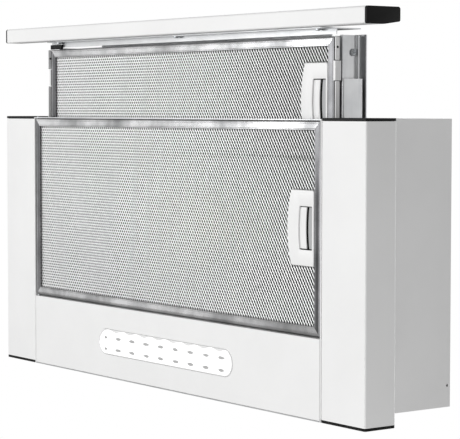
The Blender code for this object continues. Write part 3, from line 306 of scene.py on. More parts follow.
@dataclass(frozen=True)
class LampGlow:
    """Frosted acrylic diffuser lit from behind by two rows of light chips.

    The glow runs past white and ends in a scalloped edge just inside the lens. Between the chips the
    webs of the tray cast painted shadows: two rows of small grey marks where the glow is cut.

    Attributes:
        name: common name of the material.
        colour: sRGB hex of the unlit acrylic.
        web_shadow_colour: sRGB hex of a grey mark, a painted shadow of a web of the tray.
        pitch: spacing of the chips, the scallops and the marks.
        mark_x: place of one mark along the lens.
        mark_rows: Y of the two rows of marks.
        mark_size: a mark's half length and half width.
        ragged: how far a cloud breaks a mark's edge.
        cloud_scale: frequency of that cloud, per metre.
        end_room: how far the marks run past the start of the round ends.
        centre_y: Y of the glow's spine.
        half: half length of the glow.
        radius: half width of the glow.
        scallop: depth of the scallops on the front edge.
        scallop_x: place of one scallop's crest.
        fade: where the glow starts and is full, measured inward from its edge.
        strength: emission where it is full.
        roughness: roughness of the acrylic.
    """

    name: str = "frosted acrylic diffuser"
    colour: str = "EEEEEE"
    web_shadow_colour: str = "BCBCBC"
    pitch: float = 25.0 * MM
    mark_x: float = -3.1 * MM
    mark_rows: tuple[float, float] = (-41.0 * MM, -29.5 * MM)
    mark_size: tuple[float, float] = (6.2 * MM, 1.9 * MM)
    ragged: float = 1.1
    cloud_scale: float = 210.0
    end_room: float = 14 * MM
    centre_y: float = -36.5 * MM
    half: float = 112.0 * MM
    radius: float = 11.3 * MM
    scallop: float = 1.1 * MM
    scallop_x: float = 5 * MM
    fade: tuple[float, float] = (-0.5 * MM, 0.8 * MM)
    strength: float = 1.1
    roughness: float = 0.38

    def material(self) -> bpy.types.Material:
        """Build the glowing material.

        Returns:
            A Principled material whose glow and marks follow Object coordinates.
        """
        made, tree, spot = new_material(self.name)
        shader = tree.nodes["Principled BSDF"]
        shader.inputs["Roughness"].default_value = self.roughness
        shader.inputs["Emission Color"].default_value = srgb("FFFFFF")
        parts = add_node(tree, "ShaderNodeSeparateXYZ", None, {"Vector": spot})
        x, y = parts.outputs["X"], parts.outputs["Y"]
        glow = self.blob(tree, x, y)
        mark = self.marks(tree, x, y, spot)
        clear = apply_math(tree, "SUBTRACT", 1.0, mark)
        lit = apply_math(tree, "MULTIPLY", glow, clear)
        power = apply_math(tree, "MULTIPLY", lit, self.strength)
        tree.links.new(power, shader.inputs["Emission Strength"])
        # The grey of the marks is painted shadow of the tray's webs.
        colour_between(tree, self.colour, self.web_shadow_colour, mark)
        return made

    def blob(
        self, tree: bpy.types.NodeTree, x: bpy.types.NodeSocket, y: bpy.types.NodeSocket
    ) -> bpy.types.NodeSocket:
        """The glow: distance to the spine against radius + scallop * cos(2 pi (x - crest) / pitch).

        Args:
            tree: the material's tree.
            x: socket of the Object X.
            y: socket of the Object Y.

        Returns:
            A socket that is 1 inside the glow and 0 outside.
        """
        past = apply_math(tree, "SUBTRACT", apply_math(tree, "ABSOLUTE", x), self.half - self.radius)
        past = apply_math(tree, "MAXIMUM", past, 0.0)
        off = apply_math(tree, "SUBTRACT", y, self.centre_y)
        past_square = apply_math(tree, "MULTIPLY", past, past)
        off_square = apply_math(tree, "MULTIPLY", off, off)
        away = apply_math(tree, "SQRT", apply_math(tree, "ADD", past_square, off_square))
        from_crest = apply_math(tree, "SUBTRACT", x, self.scallop_x)
        turn = apply_math(tree, "MULTIPLY", from_crest, 2 * math.pi / self.pitch)
        wave = apply_math(tree, "MULTIPLY", apply_math(tree, "COSINE", turn), self.scallop)
        front = apply_math(tree, "LESS_THAN", off, 0.0)
        edge = apply_math(tree, "ADD", apply_math(tree, "MULTIPLY", wave, front), self.radius)
        depth = apply_math(tree, "SUBTRACT", edge, away)
        glow = add_node(
            tree, "ShaderNodeMapRange",
            {"interpolation_type": "SMOOTHSTEP", "From Min": self.fade[0], "From Max": self.fade[1]},
            {"Value": depth},
        )
        return glow.outputs["Result"]

    def marks(
        self, tree: bpy.types.NodeTree, x: bpy.types.NodeSocket, y: bpy.types.NodeSocket,
        spot: bpy.types.NodeSocket,
    ) -> bpy.types.NodeSocket:
        """The grey marks, painted shadows of the tray's webs: small soft ellipses on two rows, ragged by a
        cloud.

        Args:
            tree: the material's tree.
            x: socket of the Object X.
            y: socket of the Object Y.
            spot: socket of the Object coordinates.

        Returns:
            A socket that is 1 on a mark and 0 elsewhere.
        """
        shifted = apply_math(tree, "SUBTRACT", x, self.mark_x - self.pitch / 2)
        turned_x = apply_math(tree, "FLOORED_MODULO", shifted, self.pitch)
        from_mark = apply_math(tree, "SUBTRACT", turned_x, self.pitch / 2)
        along = apply_math(tree, "DIVIDE", from_mark, self.mark_size[0])
        along_square = apply_math(tree, "MULTIPLY", along, along)
        cloud = add_node(
            tree, "ShaderNodeTexNoise", {"Scale": self.cloud_scale, "Detail": 2.0}, {"Vector": spot}
        )
        broken = apply_math(tree, "MULTIPLY", cloud.outputs["Fac"], self.ragged)
        rows = []
        for row in self.mark_rows:
            across = apply_math(tree, "DIVIDE", apply_math(tree, "SUBTRACT", y, row), self.mark_size[1])
            square = apply_math(tree, "ADD", along_square, apply_math(tree, "MULTIPLY", across, across))
            edge = apply_math(tree, "ADD", square, broken)
            soft = add_node(
                tree, "ShaderNodeMapRange", {"From Min": 1.9, "From Max": 0.9, "To Min": 0.0, "To Max": 1.0},
                {"Value": edge},
            )
            rows.append(soft.outputs["Result"])
        reach = self.half - 2 * self.radius + self.end_room
        inside = apply_math(tree, "LESS_THAN", apply_math(tree, "ABSOLUTE", x), reach)
        return apply_math(tree, "MULTIPLY", apply_math(tree, "MAXIMUM", rows[0], rows[1]), inside)


@dataclass(frozen=True)
class FilterPack:
    """Next layer of expanded mesh, seen through the face layer's holes.

    To the eye it is a lattice of crossing strands over an inside, both painted near black as shade of the
    layer behind the face layer. Its pitch and lie differ a little from the face layer's, so the two make
    slow bands of light and dark.

    Attributes:
        name: what the layer is.
        strand: sRGB hex of its strands, near black as painted shade.
        inside: sRGB hex of the black between them, painted shade of the filter's inside.
        pitch_x: spacing of its cells along X.
        pitch_y: spacing of its cells along Y.
        turn: how far it lies turned from the face layer.
        strand_edge: where a strand starts and is full, as shares of the way to a cell's middle.
        relief: height of its strands.
        roughness: roughness of strands and dark alike.
    """

    name: str = "inner mesh layer in painted shade"
    strand: str = "262627"
    inside: str = "030303"
    pitch_x: float = 3.95 * MM
    pitch_y: float = 5.38 * MM
    turn: float = math.radians(1.6)
    strand_edge: tuple[float, float] = (0.50, 0.72)
    relief: float = 0.5 * MM
    roughness: float = 0.5

    def material(self) -> bpy.types.Material:
        """Build the lattice: strands lie where x / px + y / py or x / px - y / py is near a whole number.

        Returns:
            A Principled material whose colour, metal share and bump follow the lattice.
        """
        made, tree, spot = new_material(self.name)
        shader = tree.nodes["Principled BSDF"]
        shader.inputs["Roughness"].default_value = self.roughness
        turned_round = add_node(
            tree, "ShaderNodeMapping", {"Rotation": (0.0, 0.0, self.turn)}, {"Vector": spot}
        )
        parts = add_node(tree, "ShaderNodeSeparateXYZ", None, {"Vector": turned_round.outputs[0]})
        u = apply_math(tree, "DIVIDE", parts.outputs["X"], self.pitch_x)
        v = apply_math(tree, "DIVIDE", parts.outputs["Y"], self.pitch_y)
        both = (apply_math(tree, "ADD", u, v), apply_math(tree, "SUBTRACT", u, v))
        near = [apply_math(tree, "PINGPONG", sloped, 0.5) for sloped in both]
        least = apply_math(tree, "MINIMUM", *near)
        strand = add_node(
            tree, "ShaderNodeMapRange",
            {
                "From Min": 0.5 - self.strand_edge[0] / 2, "From Max": 0.5 - self.strand_edge[1] / 2,
                "To Min": 0.0, "To Max": 1.0,
            },
            {"Value": least},
        )
        # Both colours are near black: painted shade of the mesh layers behind the face.
        colour_between(tree, self.inside, self.strand, strand.outputs["Result"])
        tree.links.new(strand.outputs["Result"], shader.inputs["Metallic"])
        raise_by(tree, self.relief, strand.outputs["Result"])
        return made


# Polyester powder coat on steel, baked: satin white with the faint ripple of orange peel.
POWDER_COAT = Finish(
    "white powder coat", "F7F7F7", "F0F0F0", 0.42, mark=Mark.PEEL, mark_mm=1.6, depth_mm=0.012,
    mottle=0.5,
)
# Injection-moulded black ABS from a spark-eroded mould: dull sheen that breaks up in fine grain.
BLACK_ABS = Finish("black moulded ABS", "0B0B0B", "131314", 0.50, mark_mm=0.5, depth_mm=0.03, specular=0.22)
# Injection-moulded white ABS: smoother than the paint, with a soft gloss.
WHITE_ABS = Finish("white moulded ABS", "F6F6F6", "ECECEC", 0.34, mark_mm=0.8, depth_mm=0.008, coat=0.1)
# Painted shade: a matt black strip that stands for the unlit gap beside the latch's rib.
PAINTED_GAP_SHADE = Finish("matt black painted gap shade", "030303", "060606", 0.8, mark_mm=0.5, depth_mm=0.02, specular=0.1)
# The latch's inner plate, light grey as painted shade of the slot's floor.
SLOT_FLOOR_SHADE_GREY = Finish("light grey plate with painted slot shade", "B4B5B6", "A6A7A9", 0.42, mark_mm=0.7, depth_mm=0.01)
# Glass-filled grey polypropylene of the blower: matt and slightly cloudy.
GREY_PP = Finish("grey filled polypropylene", "6E7174", "5C5F62", 0.58, mark_mm=0.9, depth_mm=0.03)
# Galvanised strip: zinc spangle over rolling lines, a cool broken shine.
ZINC_STRIP = Finish(
    "galvanised steel strip", "E4E5E6", "C6C8CA", 0.34, 1.0, Mark.SPANGLE, 0.9, 0.010, 0.10, 45.0, 0.8,
)
# Zinc-plated screws: small, bright and nearly smooth.
ZINC_SCREW = Finish("zinc-plated screw", "C8CBCE", "8E9296", 0.26, 1.0, Mark.GRAIN, 0.4, 0.008, 0.06, 6.0)
# Bright rolled aluminium strip: near-mirror with long draw lines and dark mottled patches.
BRIGHT_STRIP_X = Finish(
    "bright aluminium strip along X", "F0F0F1", "77787A", 0.22, 1.0, Mark.ROLLED_X, 0.7, 0.004, 0.06,
    46.0, 0.8,
)
# The two side lengths are the same strip, painted darker as shade and a little smoother.
SHADED_STRIP_Y = Finish(
    "aluminium strip along Y in painted shade", "7C7C7E", "4E4F51", 0.16, 1.0, Mark.ROLLED_Y, 0.7, 0.002, 0.05,
    38.0, 0.8,
)
# Expanded aluminium foil: slit, stretched strands that glint in turn.
EXPANDED_FOIL = Finish(
    "expanded aluminium foil", "F6F6F6", "D2D2D3", 0.36, 0.5, Mark.STRAND, 1.4, 0.02, 0.12, 3.0, 0.6,
)
# Drawn steel of the motor can.
MOTOR_CAN = Finish("drawn motor steel", "8C8F92", "6D7073", 0.38, 1.0, Mark.ROLLED_X, 0.8, 0.01)
# Green solder mask over a fibre board.
SOLDER_MASK = Finish("green solder mask", "1E5A33", "174A29", 0.40, mark_mm=0.7, depth_mm=0.01, coat=0.4)
# Drawn aluminium can of the capacitor.
CAN_ALUMINIUM = Finish("drawn aluminium can", "CFD0D1", "A9ABAD", 0.28, 1.0, Mark.ROLLED_X, 0.6, 0.006)
# Seamless studio floor: matt pale paint.
STUDIO_FLOOR = Finish(
    "pale studio floor", "EFEFEE", "EAEAE9", 0.85, mark=Mark.PEEL, mark_mm=30, depth_mm=0.05,
    mottle_mm=900,
)

_MADE: dict[str, bpy.types.Material] = {}


def material_of(finish: Finish | LampGlow | FilterPack) -> bpy.types.Material:
    """The finish's material, made the first time it is asked for.

    Args:
        finish: the finish, lens glow or mesh pack.

    Returns:
        Its material.
    """
    if finish.name not in _MADE:
        _MADE[finish.name] = finish.material()
    return _MADE[finish.name]


def rounded_outline(corners: np.ndarray, radii: np.ndarray, steps: int = 8) -> np.ndarray:
    """Outline of a convex polygon whose corners are turned by arcs.

    At a corner c with unit directions a and b to its neighbours and half angle h, the arc's centre is
    c + (a + b) / |a + b| * r / sin(h), and it runs from the foot on one side to the foot on the other.

    Args:
        corners: (n, 2) corner points in order.
        radii: (n,) corner radii.
        steps: segments per arc.

    Returns:
        (n * (steps + 1), 2) points.
    """
    to_before = np.roll(corners, 1, 0) - corners
    to_after = np.roll(corners, -1, 0) - corners
    to_before /= np.linalg.norm(to_before, axis=1, keepdims=True)
    to_after /= np.linalg.norm(to_after, axis=1, keepdims=True)
    half = np.arccos(np.clip((to_before * to_after).sum(1), -1, 1)) / 2
    middle = to_before + to_after
    middle /= np.linalg.norm(middle, axis=1, keepdims=True)
    centre = corners + middle * (radii / np.sin(half))[:, None]
    start = corners + to_before * (radii / np.tan(half))[:, None] - centre
    end = corners + to_after * (radii / np.tan(half))[:, None] - centre
    first = np.arctan2(start[:, 1], start[:, 0])
    turn = np.arctan2(end[:, 1], end[:, 0]) - first
    turn = (turn + np.pi) % (2 * np.pi) - np.pi
    angle = first[:, None] + turn[:, None] * np.linspace(0, 1, steps + 1)
    points = np.stack([np.cos(angle), np.sin(angle)], -1) * radii[:, None, None] + centre[:, None]
    return points.reshape(-1, 2)


def rectangle(u0: float, u1: float, v0: float, v1: float) -> np.ndarray:
    """The four corners of a rectangle.

    Args:
        u0, u1: its ends along the first direction.
        v0, v1: its ends along the second.

    Returns:
        (4, 2) points, counter-clockwise.
    """
    return np.array([(u0, v0), (u1, v0), (u1, v1), (u0, v1)], float)


def inset(outline: np.ndarray, distance: float) -> np.ndarray:
    """Move each point of a closed outline inward along the mean normal of its two sides.

    Args:
        outline: (n, 2) points in order, either way round.
        distance: how far in; a negative value moves outward.

    Returns:
        (n, 2) moved points.
    """
    side = np.roll(outline, -1, 0) - outline
    area = (outline[:, 0] * np.roll(outline[:, 1], -1) - np.roll(outline[:, 0], -1) * outline[:, 1]).sum()
    normal = np.stack([-side[:, 1], side[:, 0]], 1) * np.sign(area)
    normal /= np.maximum(np.linalg.norm(normal, axis=1, keepdims=True), 1e-12)
    mean = normal + np.roll(normal, 1, 0)
    mean /= np.maximum(np.linalg.norm(mean, axis=1, keepdims=True), 1e-12)
    scale = np.clip((mean * normal).sum(1, keepdims=True), 0.5, 1.0)
    return outline + mean * distance / scale


def stand(outline: np.ndarray, axis: str, along: float | np.ndarray) -> np.ndarray:
    """Put a flat outline into space.

    Args:
        outline: (n, 2) points across the axis.
        axis: "X", "Y" or "Z".
        along: the outline's place on that axis, one value or one per point.

    Returns:
        (n, 3) points.
    """
    far = np.broadcast_to(np.asarray(along, float), outline.shape[:1])
    if axis == "X":
        return np.stack([far, outline[:, 0], outline[:, 1]], -1)
    if axis == "Y":
        return np.stack([outline[:, 0], far, outline[:, 1]], -1)
    return np.stack([outline[:, 0], outline[:, 1], far], -1)


def grid_faces(rows: int, columns: int, loop: bool) -> np.ndarray:
    """Quads that join each ring of points to the next, round every ring.

    Args:
        rows: number of rings.
        columns: points in each ring, which closes on itself.
        loop: whether the last ring joins the first.

    Returns:
        (faces, 4) vertex numbers.
    """
    i = np.arange(rows if loop else rows - 1)[:, None]
    j = np.arange(columns)[None, :]
    after = (j + 1) % columns
    above = (i + 1) % rows
    quads = [i * columns + j, i * columns + after, above * columns + after, above * columns + j]
    return np.stack([np.broadcast_to(q, (i.shape[0], columns)) for q in quads], -1).reshape(-1, 4)


def piece(
    name: str,
    points: np.ndarray,
    quads: np.ndarray,
    caps: list[list[int]],
    finish: Finish | LampGlow | FilterPack,
    body: str,
    replaces: tuple[str, ...] = (),
) -> bpy.types.Object:
    """Make one object from arrays, facing outward, and hang it on its body.

    The sign of the enclosed volume, a third of the sum of face centre times face area vector, tells
    whether the faces point in, in which case every face is turned round.

    Args:
        name: object name.
        points: (n, 3) vertices.
        quads: (m, 4) faces.
        caps: further faces with any number of corners.
        finish: surface finish.
        body: CAD body that it moves with.
        replaces: CAD nodes that it stands for.

    Returns:
        The new object.
    """
    a, b, c, d = (points[quads[:, k]] for k in range(4))
    volume = (np.cross(c - a, d - b) * (a + b + c + d)).sum() / 24
    for cap in caps:
        ring = points[cap]
        area = np.cross(ring, np.roll(ring, -1, 0)).sum(0) / 2
        volume += (area * ring.mean(0)).sum() / 3
    faces = quads.tolist() + caps
    if volume < 0:
        faces = [face[::-1] for face in faces]
    mesh = bpy.data.meshes.new(name)
    mesh.from_pydata(points.tolist(), [], faces)
    mesh.validate()
    mesh.shade_smooth()
    mesh.set_sharp_from_angle(angle=SHARP_ANGLE)
    made = bpy.data.objects.new(name, mesh)
    bpy.context.scene.collection.objects.link(made)
    made.data.materials.append(material_of(finish))
    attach(made, body)
    if replaces:
        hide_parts(*replaces)
    LOG.info("%s: %d faces", name, len(faces))
    return made


def loft(
    name: str,
    rings: list[np.ndarray],
    finish: Finish | LampGlow | FilterPack,
    body: str,
    replaces: tuple[str, ...] = (),
    loop: bool = False,
) -> bpy.types.Object:
    """Skin a run of rings that all have the same number of points.

    Args:
        name: object name.
        rings: (n, 3) arrays in order along the piece.
        finish: surface finish.
        body: CAD body that it moves with.
        replaces: CAD nodes that it stands for.
        loop: whether the run closes on itself; otherwise both ends get a cap.

    Returns:
        The new object.
    """
    columns = len(rings[0])
    points = np.concatenate(rings)
    quads = grid_faces(len(rings), columns, loop)
    caps = []
    if not loop:
        last = (len(rings) - 1) * columns
        caps = [list(range(columns))[::-1], list(range(last, last + columns))]
    return piece(name, points, quads, caps, finish, body, replaces)


def turned(
    name: str,
    profile: np.ndarray,
    axis: str,
    centre: tuple[float, float],
    finish: Finish,
    body: str,
    replaces: tuple[str, ...] = (),
    steps: int = 96,
) -> bpy.types.Object:
    """Turn a closed profile round an axis: ring k is a circle of radius r_k at height h_k.

    Args:
        name: object name.
        profile: (n, 2) radii and heights in order.
        axis: axis to turn round.
        centre: place of that axis across it.
        finish: surface finish.
        body: CAD body that it moves with.
        replaces: CAD nodes that it stands for.
        steps: segments of each circle.

    Returns:
        The new object.
    """
    turn = np.linspace(0, 2 * np.pi, steps, endpoint=False)
    circle = np.stack([np.cos(turn), np.sin(turn)], -1)
    rings = [stand(circle * r + np.array(centre), axis, h) for r, h in profile]
    return loft(name, rings, finish, body, replaces, loop=True)


def fillet_rings(
    outline: np.ndarray, axis: str, face: float, radius: float, way: float, steps: int = 4
) -> list[np.ndarray]:
    """Rings of a quarter-round edge that ends on a flat face.

    Ring k is the outline moved in by r (1 - cos t) at face + way * r (1 - sin t), t from 0 to 90 degrees,
    so the run starts on the side wall and ends on the face.

    Args:
        outline: (n, 2) outer outline.
        axis: axis that the face looks along.
        face: place of the face on that axis.
        radius: edge radius.
        way: +1 when the wall lies on the + side of the face.
        steps: segments.

    Returns:
        List of (n, 3) rings.
    """
    rings = []
    for t in np.linspace(0, np.pi / 2, steps + 1):
        ring = inset(outline, radius * (1 - np.cos(t)))
        rings.append(stand(ring, axis, face + way * radius * (1 - np.sin(t))))
    return rings


@dataclass
class EndCap:
    """Moulded cap: a plate with a rounded rim, and a hollow plug that sits in a tube.

    Attributes:
        wall: wall of the tube.
        plate: thickness of the plate.
        edge: radius of the plate's outer rim.
        plug: length of the plug.
        plug_play: gap between the plug and the tube's wall.
        hollow_in: how far the plug's hollow lies inside the tube's wall.
    """

    wall: float
    plate: float = 2.4 * MM
    edge: float = 0.5 * MM
    plug: float = 8 * MM
    plug_play: float = 0.3 * MM
    hollow_in: float = 1.8 * MM

    def build(self, node: str, outline: np.ndarray, axis: str, way: float, body: str) -> None:
        """Make one cap.

        Args:
            node: CAD cap that it stands for.
            outline: (n, 2) outline of the tube.
            axis: the tube's axis.
            way: +1 when the tube lies on the + side of the cap.
            body: CAD body that it moves with.
        """
        low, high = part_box(node)
        k = "XYZ".index(axis)
        outside = low[k] if way > 0 else high[k]
        seat = outside + way * self.plate
        tip = seat + way * self.plug
        plug = inset(outline, self.wall + self.plug_play)
        hollow = inset(outline, self.wall + self.hollow_in)
        rings = fillet_rings(outline, axis, outside, self.edge, way)[::-1]
        rings += [stand(outline, axis, seat), stand(plug, axis, seat), stand(plug, axis, tip)]
        rings += [stand(hollow, axis, tip), stand(hollow, axis, seat)]
        loft(node + "_moulding", rings, BLACK_ABS, body, (node,))


@dataclass
class SideRail:
    """Hollow powder-coated rail beside the body, with a moulded cap in each end."""

    word: str
    corner: float = 1.8 * MM
    wall: float = 1.2 * MM

    def build(self) -> None:
        """Make the rail tube and both caps from the CAD rail's own box."""
        rail = self.word + "_side_rail"
        low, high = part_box(rail)
        outline = rounded_outline(rectangle(low.x, high.x, low.z, high.z), np.full(4, self.corner))
        inner = inset(outline, self.wall)
        run = ((outline, low.y), (outline, high.y), (inner, high.y), (inner, low.y))
        rings = [stand(ring, "Y", y) for ring, y in run]
        loft(self.word + "_rail_tube", rings, POWDER_COAT, "hood_body", (rail,), loop=True)
        for end, way in (("front", 1.0), ("rear", -1.0)):
            EndCap(self.wall).build(f"{self.word}_rail_{end}_cap", outline, "Y", way, "hood_body")


@dataclass
class BarCaps:
    """Moulded end caps of the handle bar across the drawer's front."""

    wall: float = 1.4 * MM
    corner: float = 2.2 * MM
    corner_shares: tuple[float, ...] = (1.0, 0.75, 3.0, 0.75, 1.0)
    slant_start: float = 20 * MM
    top_depth: float = 12.4 * MM

    def outline(self) -> np.ndarray:
        """Section of the bar: flat front, and a rear face that leans forward above the slant.

        Returns:
            (n, 2) points in Y and Z.
        """
        low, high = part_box("front_bar")
        corners = np.array([
            (low.y, low.z), (high.y, low.z), (high.y, low.z + self.slant_start),
            (low.y + self.top_depth, high.z), (low.y, high.z),
        ])
        return rounded_outline(corners, np.array(self.corner_shares) * self.corner)

    def build(self) -> None:
        """Make both caps."""
        for word, way in (("left", 1.0), ("right", -1.0)):
            EndCap(self.wall).build("bar_cap_" + word, self.outline(), "X", way, "drawer")


@dataclass
class GreaseFilter:
    """Framed grease filter: mitred bright frame, expanded face layer, mesh pack and latch."""

    word: str
    body: str
    latch_body: str
    skin: float = 1.4 * MM
    border: float = 8.0 * MM
    pitch_x: float = 3.79 * MM
    row: float = 2.76 * MM
    hole_wide: float = 0.68
    hole_tall: tuple[float, float] = (0.31, 0.77)
    hole_full: float = 1.25
    crease_from_front: float = 32.4 * MM
    crease_width: float = 0.9 * MM
    crease: float = 0.4 * MM
    twist: float = 0.45 * MM
    foil: float = 0.22 * MM
    bulge: float = 5.3 * MM
    latch_length: float = 66 * MM
    latch_width: float = 31.5 * MM
    latch_face: float = 1.2 * MM
    slot_width: float = 19 * MM
    slot_length: float = 38 * MM
    slot_edge: float = 2.2 * MM
    latch_round: float = 0.7 * MM
    slot_round: float = 0.4 * MM
    latch_wall: float = 1.0 * MM
    latch_back: float = 1.2 * MM
    strip_edge: float = 0.9 * MM
    strip_flange: float = 1.4 * MM
    mitre_gap: float = 0.12 * MM
    mesh_above_skin: float = 0.75 * MM
    pack_above_skin: float = 1.45 * MM
    pack_room: float = 0.4 * MM
    pleat: float = 0.25 * MM
    pleat_pitch: float = 9 * MM
    slider_play: float = 0.3 * MM
    rib_in: float = 0.2 * MM
    rib_width: float = 10.6 * MM
    rib_bow: float = 1.3 * MM
    rib_round: float = 0.5 * MM
    plate_depth: float = 1.2 * MM
    plate_thickness: float = 0.5 * MM
    tongue_half: float = 8 * MM
    slider_steps: int = 25

    def __post_init__(self) -> None:
        """Take the filter's place from its CAD frame and latch."""
        self.low, self.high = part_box(self.word + "_filter_frame")
        self.latch_low, self.latch_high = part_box(self.word + "_latch_housing")
        self.latch_y = (self.latch_low.y + self.latch_high.y) / 2

    def build(self) -> None:
        """Make every piece of the filter."""
        self.frame()
        self.face_layer()
        self.pack()
        self.latch()

    def frame(self) -> None:
        """Four mitred lengths of rolled strip, each its own closed length.

        The section is a C in (inward distance, height); a length's end at a mitre moves each point
        back by its own inward distance, less half the mitre's gap.
        """
        low, high, t = self.low, self.high, self.skin
        tall = high.z - low.z
        edge, flange, gap = self.strip_edge, self.strip_flange, self.mitre_gap
        # The face has a shallow groove along its middle.
        face = [(0, edge), (edge * 0.3, edge * 0.3), (edge, 0), (2.2 * MM, 0), (2.5 * MM, 0.25 * MM)]
        face += [(self.border - 1.6 * MM, 0.25 * MM), (self.border - 1.2 * MM, 0.0)]
        lip = [(self.border - 0.5 * MM, 0.0), (self.border, 0.5 * MM), (self.border, t)]
        inside = [(flange, t), (flange, tall - t), (self.border, tall - t), (self.border, tall)]
        section = np.array([*face, *lip, *inside, (edge, tall), (0, tall - edge)])
        away, up = section[:, 0], section[:, 1] + low.z
        for name, finish, corners in (
            ("front", BRIGHT_STRIP_X, ((low.x, low.y, 1, 1), (high.x, low.y, -1, 1))),
            ("rear", BRIGHT_STRIP_X, ((low.x, high.y, 1, -1), (high.x, high.y, -1, -1))),
            # The side lengths' darker colour is painted shade.
            ("left", SHADED_STRIP_Y, ((low.x, low.y, 1, 1), (low.x, high.y, 1, -1))),
            ("right", SHADED_STRIP_Y, ((high.x, low.y, -1, 1), (high.x, high.y, -1, -1))),
        ):
            along_x = name in ("front", "rear")
            rings = []
            for x, y, sx, sy in corners:
                dx = away + (gap if along_x else 0.0)
                dy = away + (0.0 if along_x else gap)
                rings.append(np.stack([x + sx * dx, y + sy * dy, up], -1))
            stands_for = (self.word + "_filter_frame",) if name == "front" else ()
            loft(f"{self.word}_frame_{name}", rings, finish, self.body, stands_for)

    def keep_out(self, x: np.ndarray, y: np.ndarray) -> np.ndarray:
        """Find the cells that would lie under the latch.

        Args:
            x, y: centres of the cells.

        Returns:
            True where a cell is left out.
        """
        half = self.latch_length / 2
        depth = self.bulge * np.clip(1 - ((y - self.latch_y) / half) ** 2, 0, 1)
        left = self.latch_high.x - self.latch_width - depth
        return (np.abs(y - self.latch_y) < half + 0.2 * MM) & (x > left + 0.6 * MM)

    def face_layer(self) -> None:
        """Expanded foil: rhombic cells round rounded holes, in two pieces side by side.

        A cell's rim is the rhombus with corners (pitch / 2, 0) and (0, row); its hole is that rhombus
        drawn in, more in Y than in X, and rounded. Rim points lie at height 0, and hole points at
        twist * y / row, so each strand between two holes is tilted, as slitting and stretching leaves it.
        The main filter's sheet also has one shallow crease along X, a Gaussian ridge on its lower face.
        """
        inner = HIDDEN_UNDER_FRAME
        x0 = self.low.x + self.border - inner
        x1 = self.high.x - self.border + inner
        y0 = self.low.y + self.border - inner
        y1 = self.high.y - self.border + inner
        middle = (x0 + x1) / 2
        base = self.low.z + self.skin + self.mesh_above_skin
        for name, start, end in (("left", x0, middle), ("right", middle, x1)):
            self.face_part(f"{self.word}_mesh_{name}", start, end, y0, y1, x0, base)

    def face_part(
        self, name: str, x0: float, x1: float, y0: float, y1: float, origin: float, base: float
    ) -> None:
        """One piece of the face layer.

        Args:
            name: piece name.
            x0, x1: its ends along X.
            y0, y1: its ends along Y.
            origin: X that the cells of both pieces count from.
            base: height of its lower face.
        """
        half_x = self.pitch_x / 2
        column = np.arange(math.ceil((x0 - origin) / half_x), math.ceil((x1 - origin) / half_x))
        line = np.arange(math.floor((y1 - y0) / self.row))
        column, line = np.meshgrid(column, line)
        column, line = column.ravel(), line.ravel()
        keep = (column + line) % 2 == 0
        x = origin + column * half_x
        y = y0 + (line + 0.5) * self.row
        keep &= ~self.keep_out(x, y)
        column, line, x, y = column[keep], line[keep], x[keep], y[keep]
        rim = np.array([(2, 0), (1, 1), (0, 2), (-1, 1), (-2, 0), (-1, -1), (0, -2), (1, -1)])
        unit = np.array([half_x, self.row])
        across = np.clip((x - self.low.x) / (self.high.x - self.low.x), 0, 1)
        tall = self.hole_tall[0] + (self.hole_tall[1] - self.hole_tall[0]) * across
        hole = rim / 2 * unit * self.hole_wide
        hole[1::2] *= self.hole_full
        hole_x = np.broadcast_to(hole[:, 0], (len(x), 8))
        hole_y = hole[:, 1] * tall[:, None] / self.hole_wide
        keys = np.stack([2 * column[:, None] + rim[:, 0], 2 * line[:, None] + rim[:, 1]], -1)
        # One whole number for each rim point, so that cells share theirs.
        flat = (keys[..., 0] + KEY_ROOM) * KEY_STEP + keys[..., 1] + KEY_ROOM
        _, first, index = np.unique(flat.ravel(), return_index=True, return_inverse=True)
        spots = keys.reshape(-1, 2)[first]
        rim_x = origin + spots[:, 0] * half_x / 2
        rim_y = y0 + (spots[:, 1] + 1) * self.row / 2
        rim_points = np.stack([rim_x, rim_y, np.zeros(len(spots))], -1)
        tilt = self.twist * hole_y / self.row
        hole_points = np.stack([x[:, None] + hole_x, y[:, None] + hole_y, tilt], -1).reshape(-1, 3)
        sheet = np.concatenate([rim_points, hole_points])
        sheet[:, 2] += base
        if self.word == "main":
            off = (sheet[:, 1] - self.low.y - self.crease_from_front) / self.crease_width
            sheet[:, 2] -= self.crease * np.exp(-off * off)
        upper = sheet + np.array([0, 0, self.foil])
        count = len(sheet)
        rim_index = index.reshape(-1, 8)
        hole_index = len(rim_points) + np.arange(len(x) * 8).reshape(-1, 8)
        rim_next, hole_next = np.roll(rim_index, -1, 1), np.roll(hole_index, -1, 1)
        under = np.stack([rim_index, hole_index, hole_next, rim_next], -1).reshape(-1, 4)
        over = under[:, ::-1] + count
        walls = np.stack([hole_index, hole_index + count, hole_next + count, hole_next], -1)
        walls = walls.reshape(-1, 4)
        # The outer rim of the sheet: cell sides that only one cell has.
        sides = np.stack([rim_index, rim_next], -1).reshape(-1, 2)
        code = np.sort(sides, 1)
        code = code[:, 0] * count + code[:, 1]
        _, where, times = np.unique(code, return_index=True, return_counts=True)
        lone = sides[where[times == 1]]
        rim_walls = np.stack([lone[:, 0], lone[:, 1], lone[:, 1] + count, lone[:, 0] + count], -1)
        quads = np.concatenate([under, over, walls, rim_walls])
        stands_for = (self.word + "_filter_mesh",) if name.endswith("left") else ()
        piece(name, np.concatenate([sheet, upper]), quads, [], EXPANDED_FOIL, self.body, stands_for)

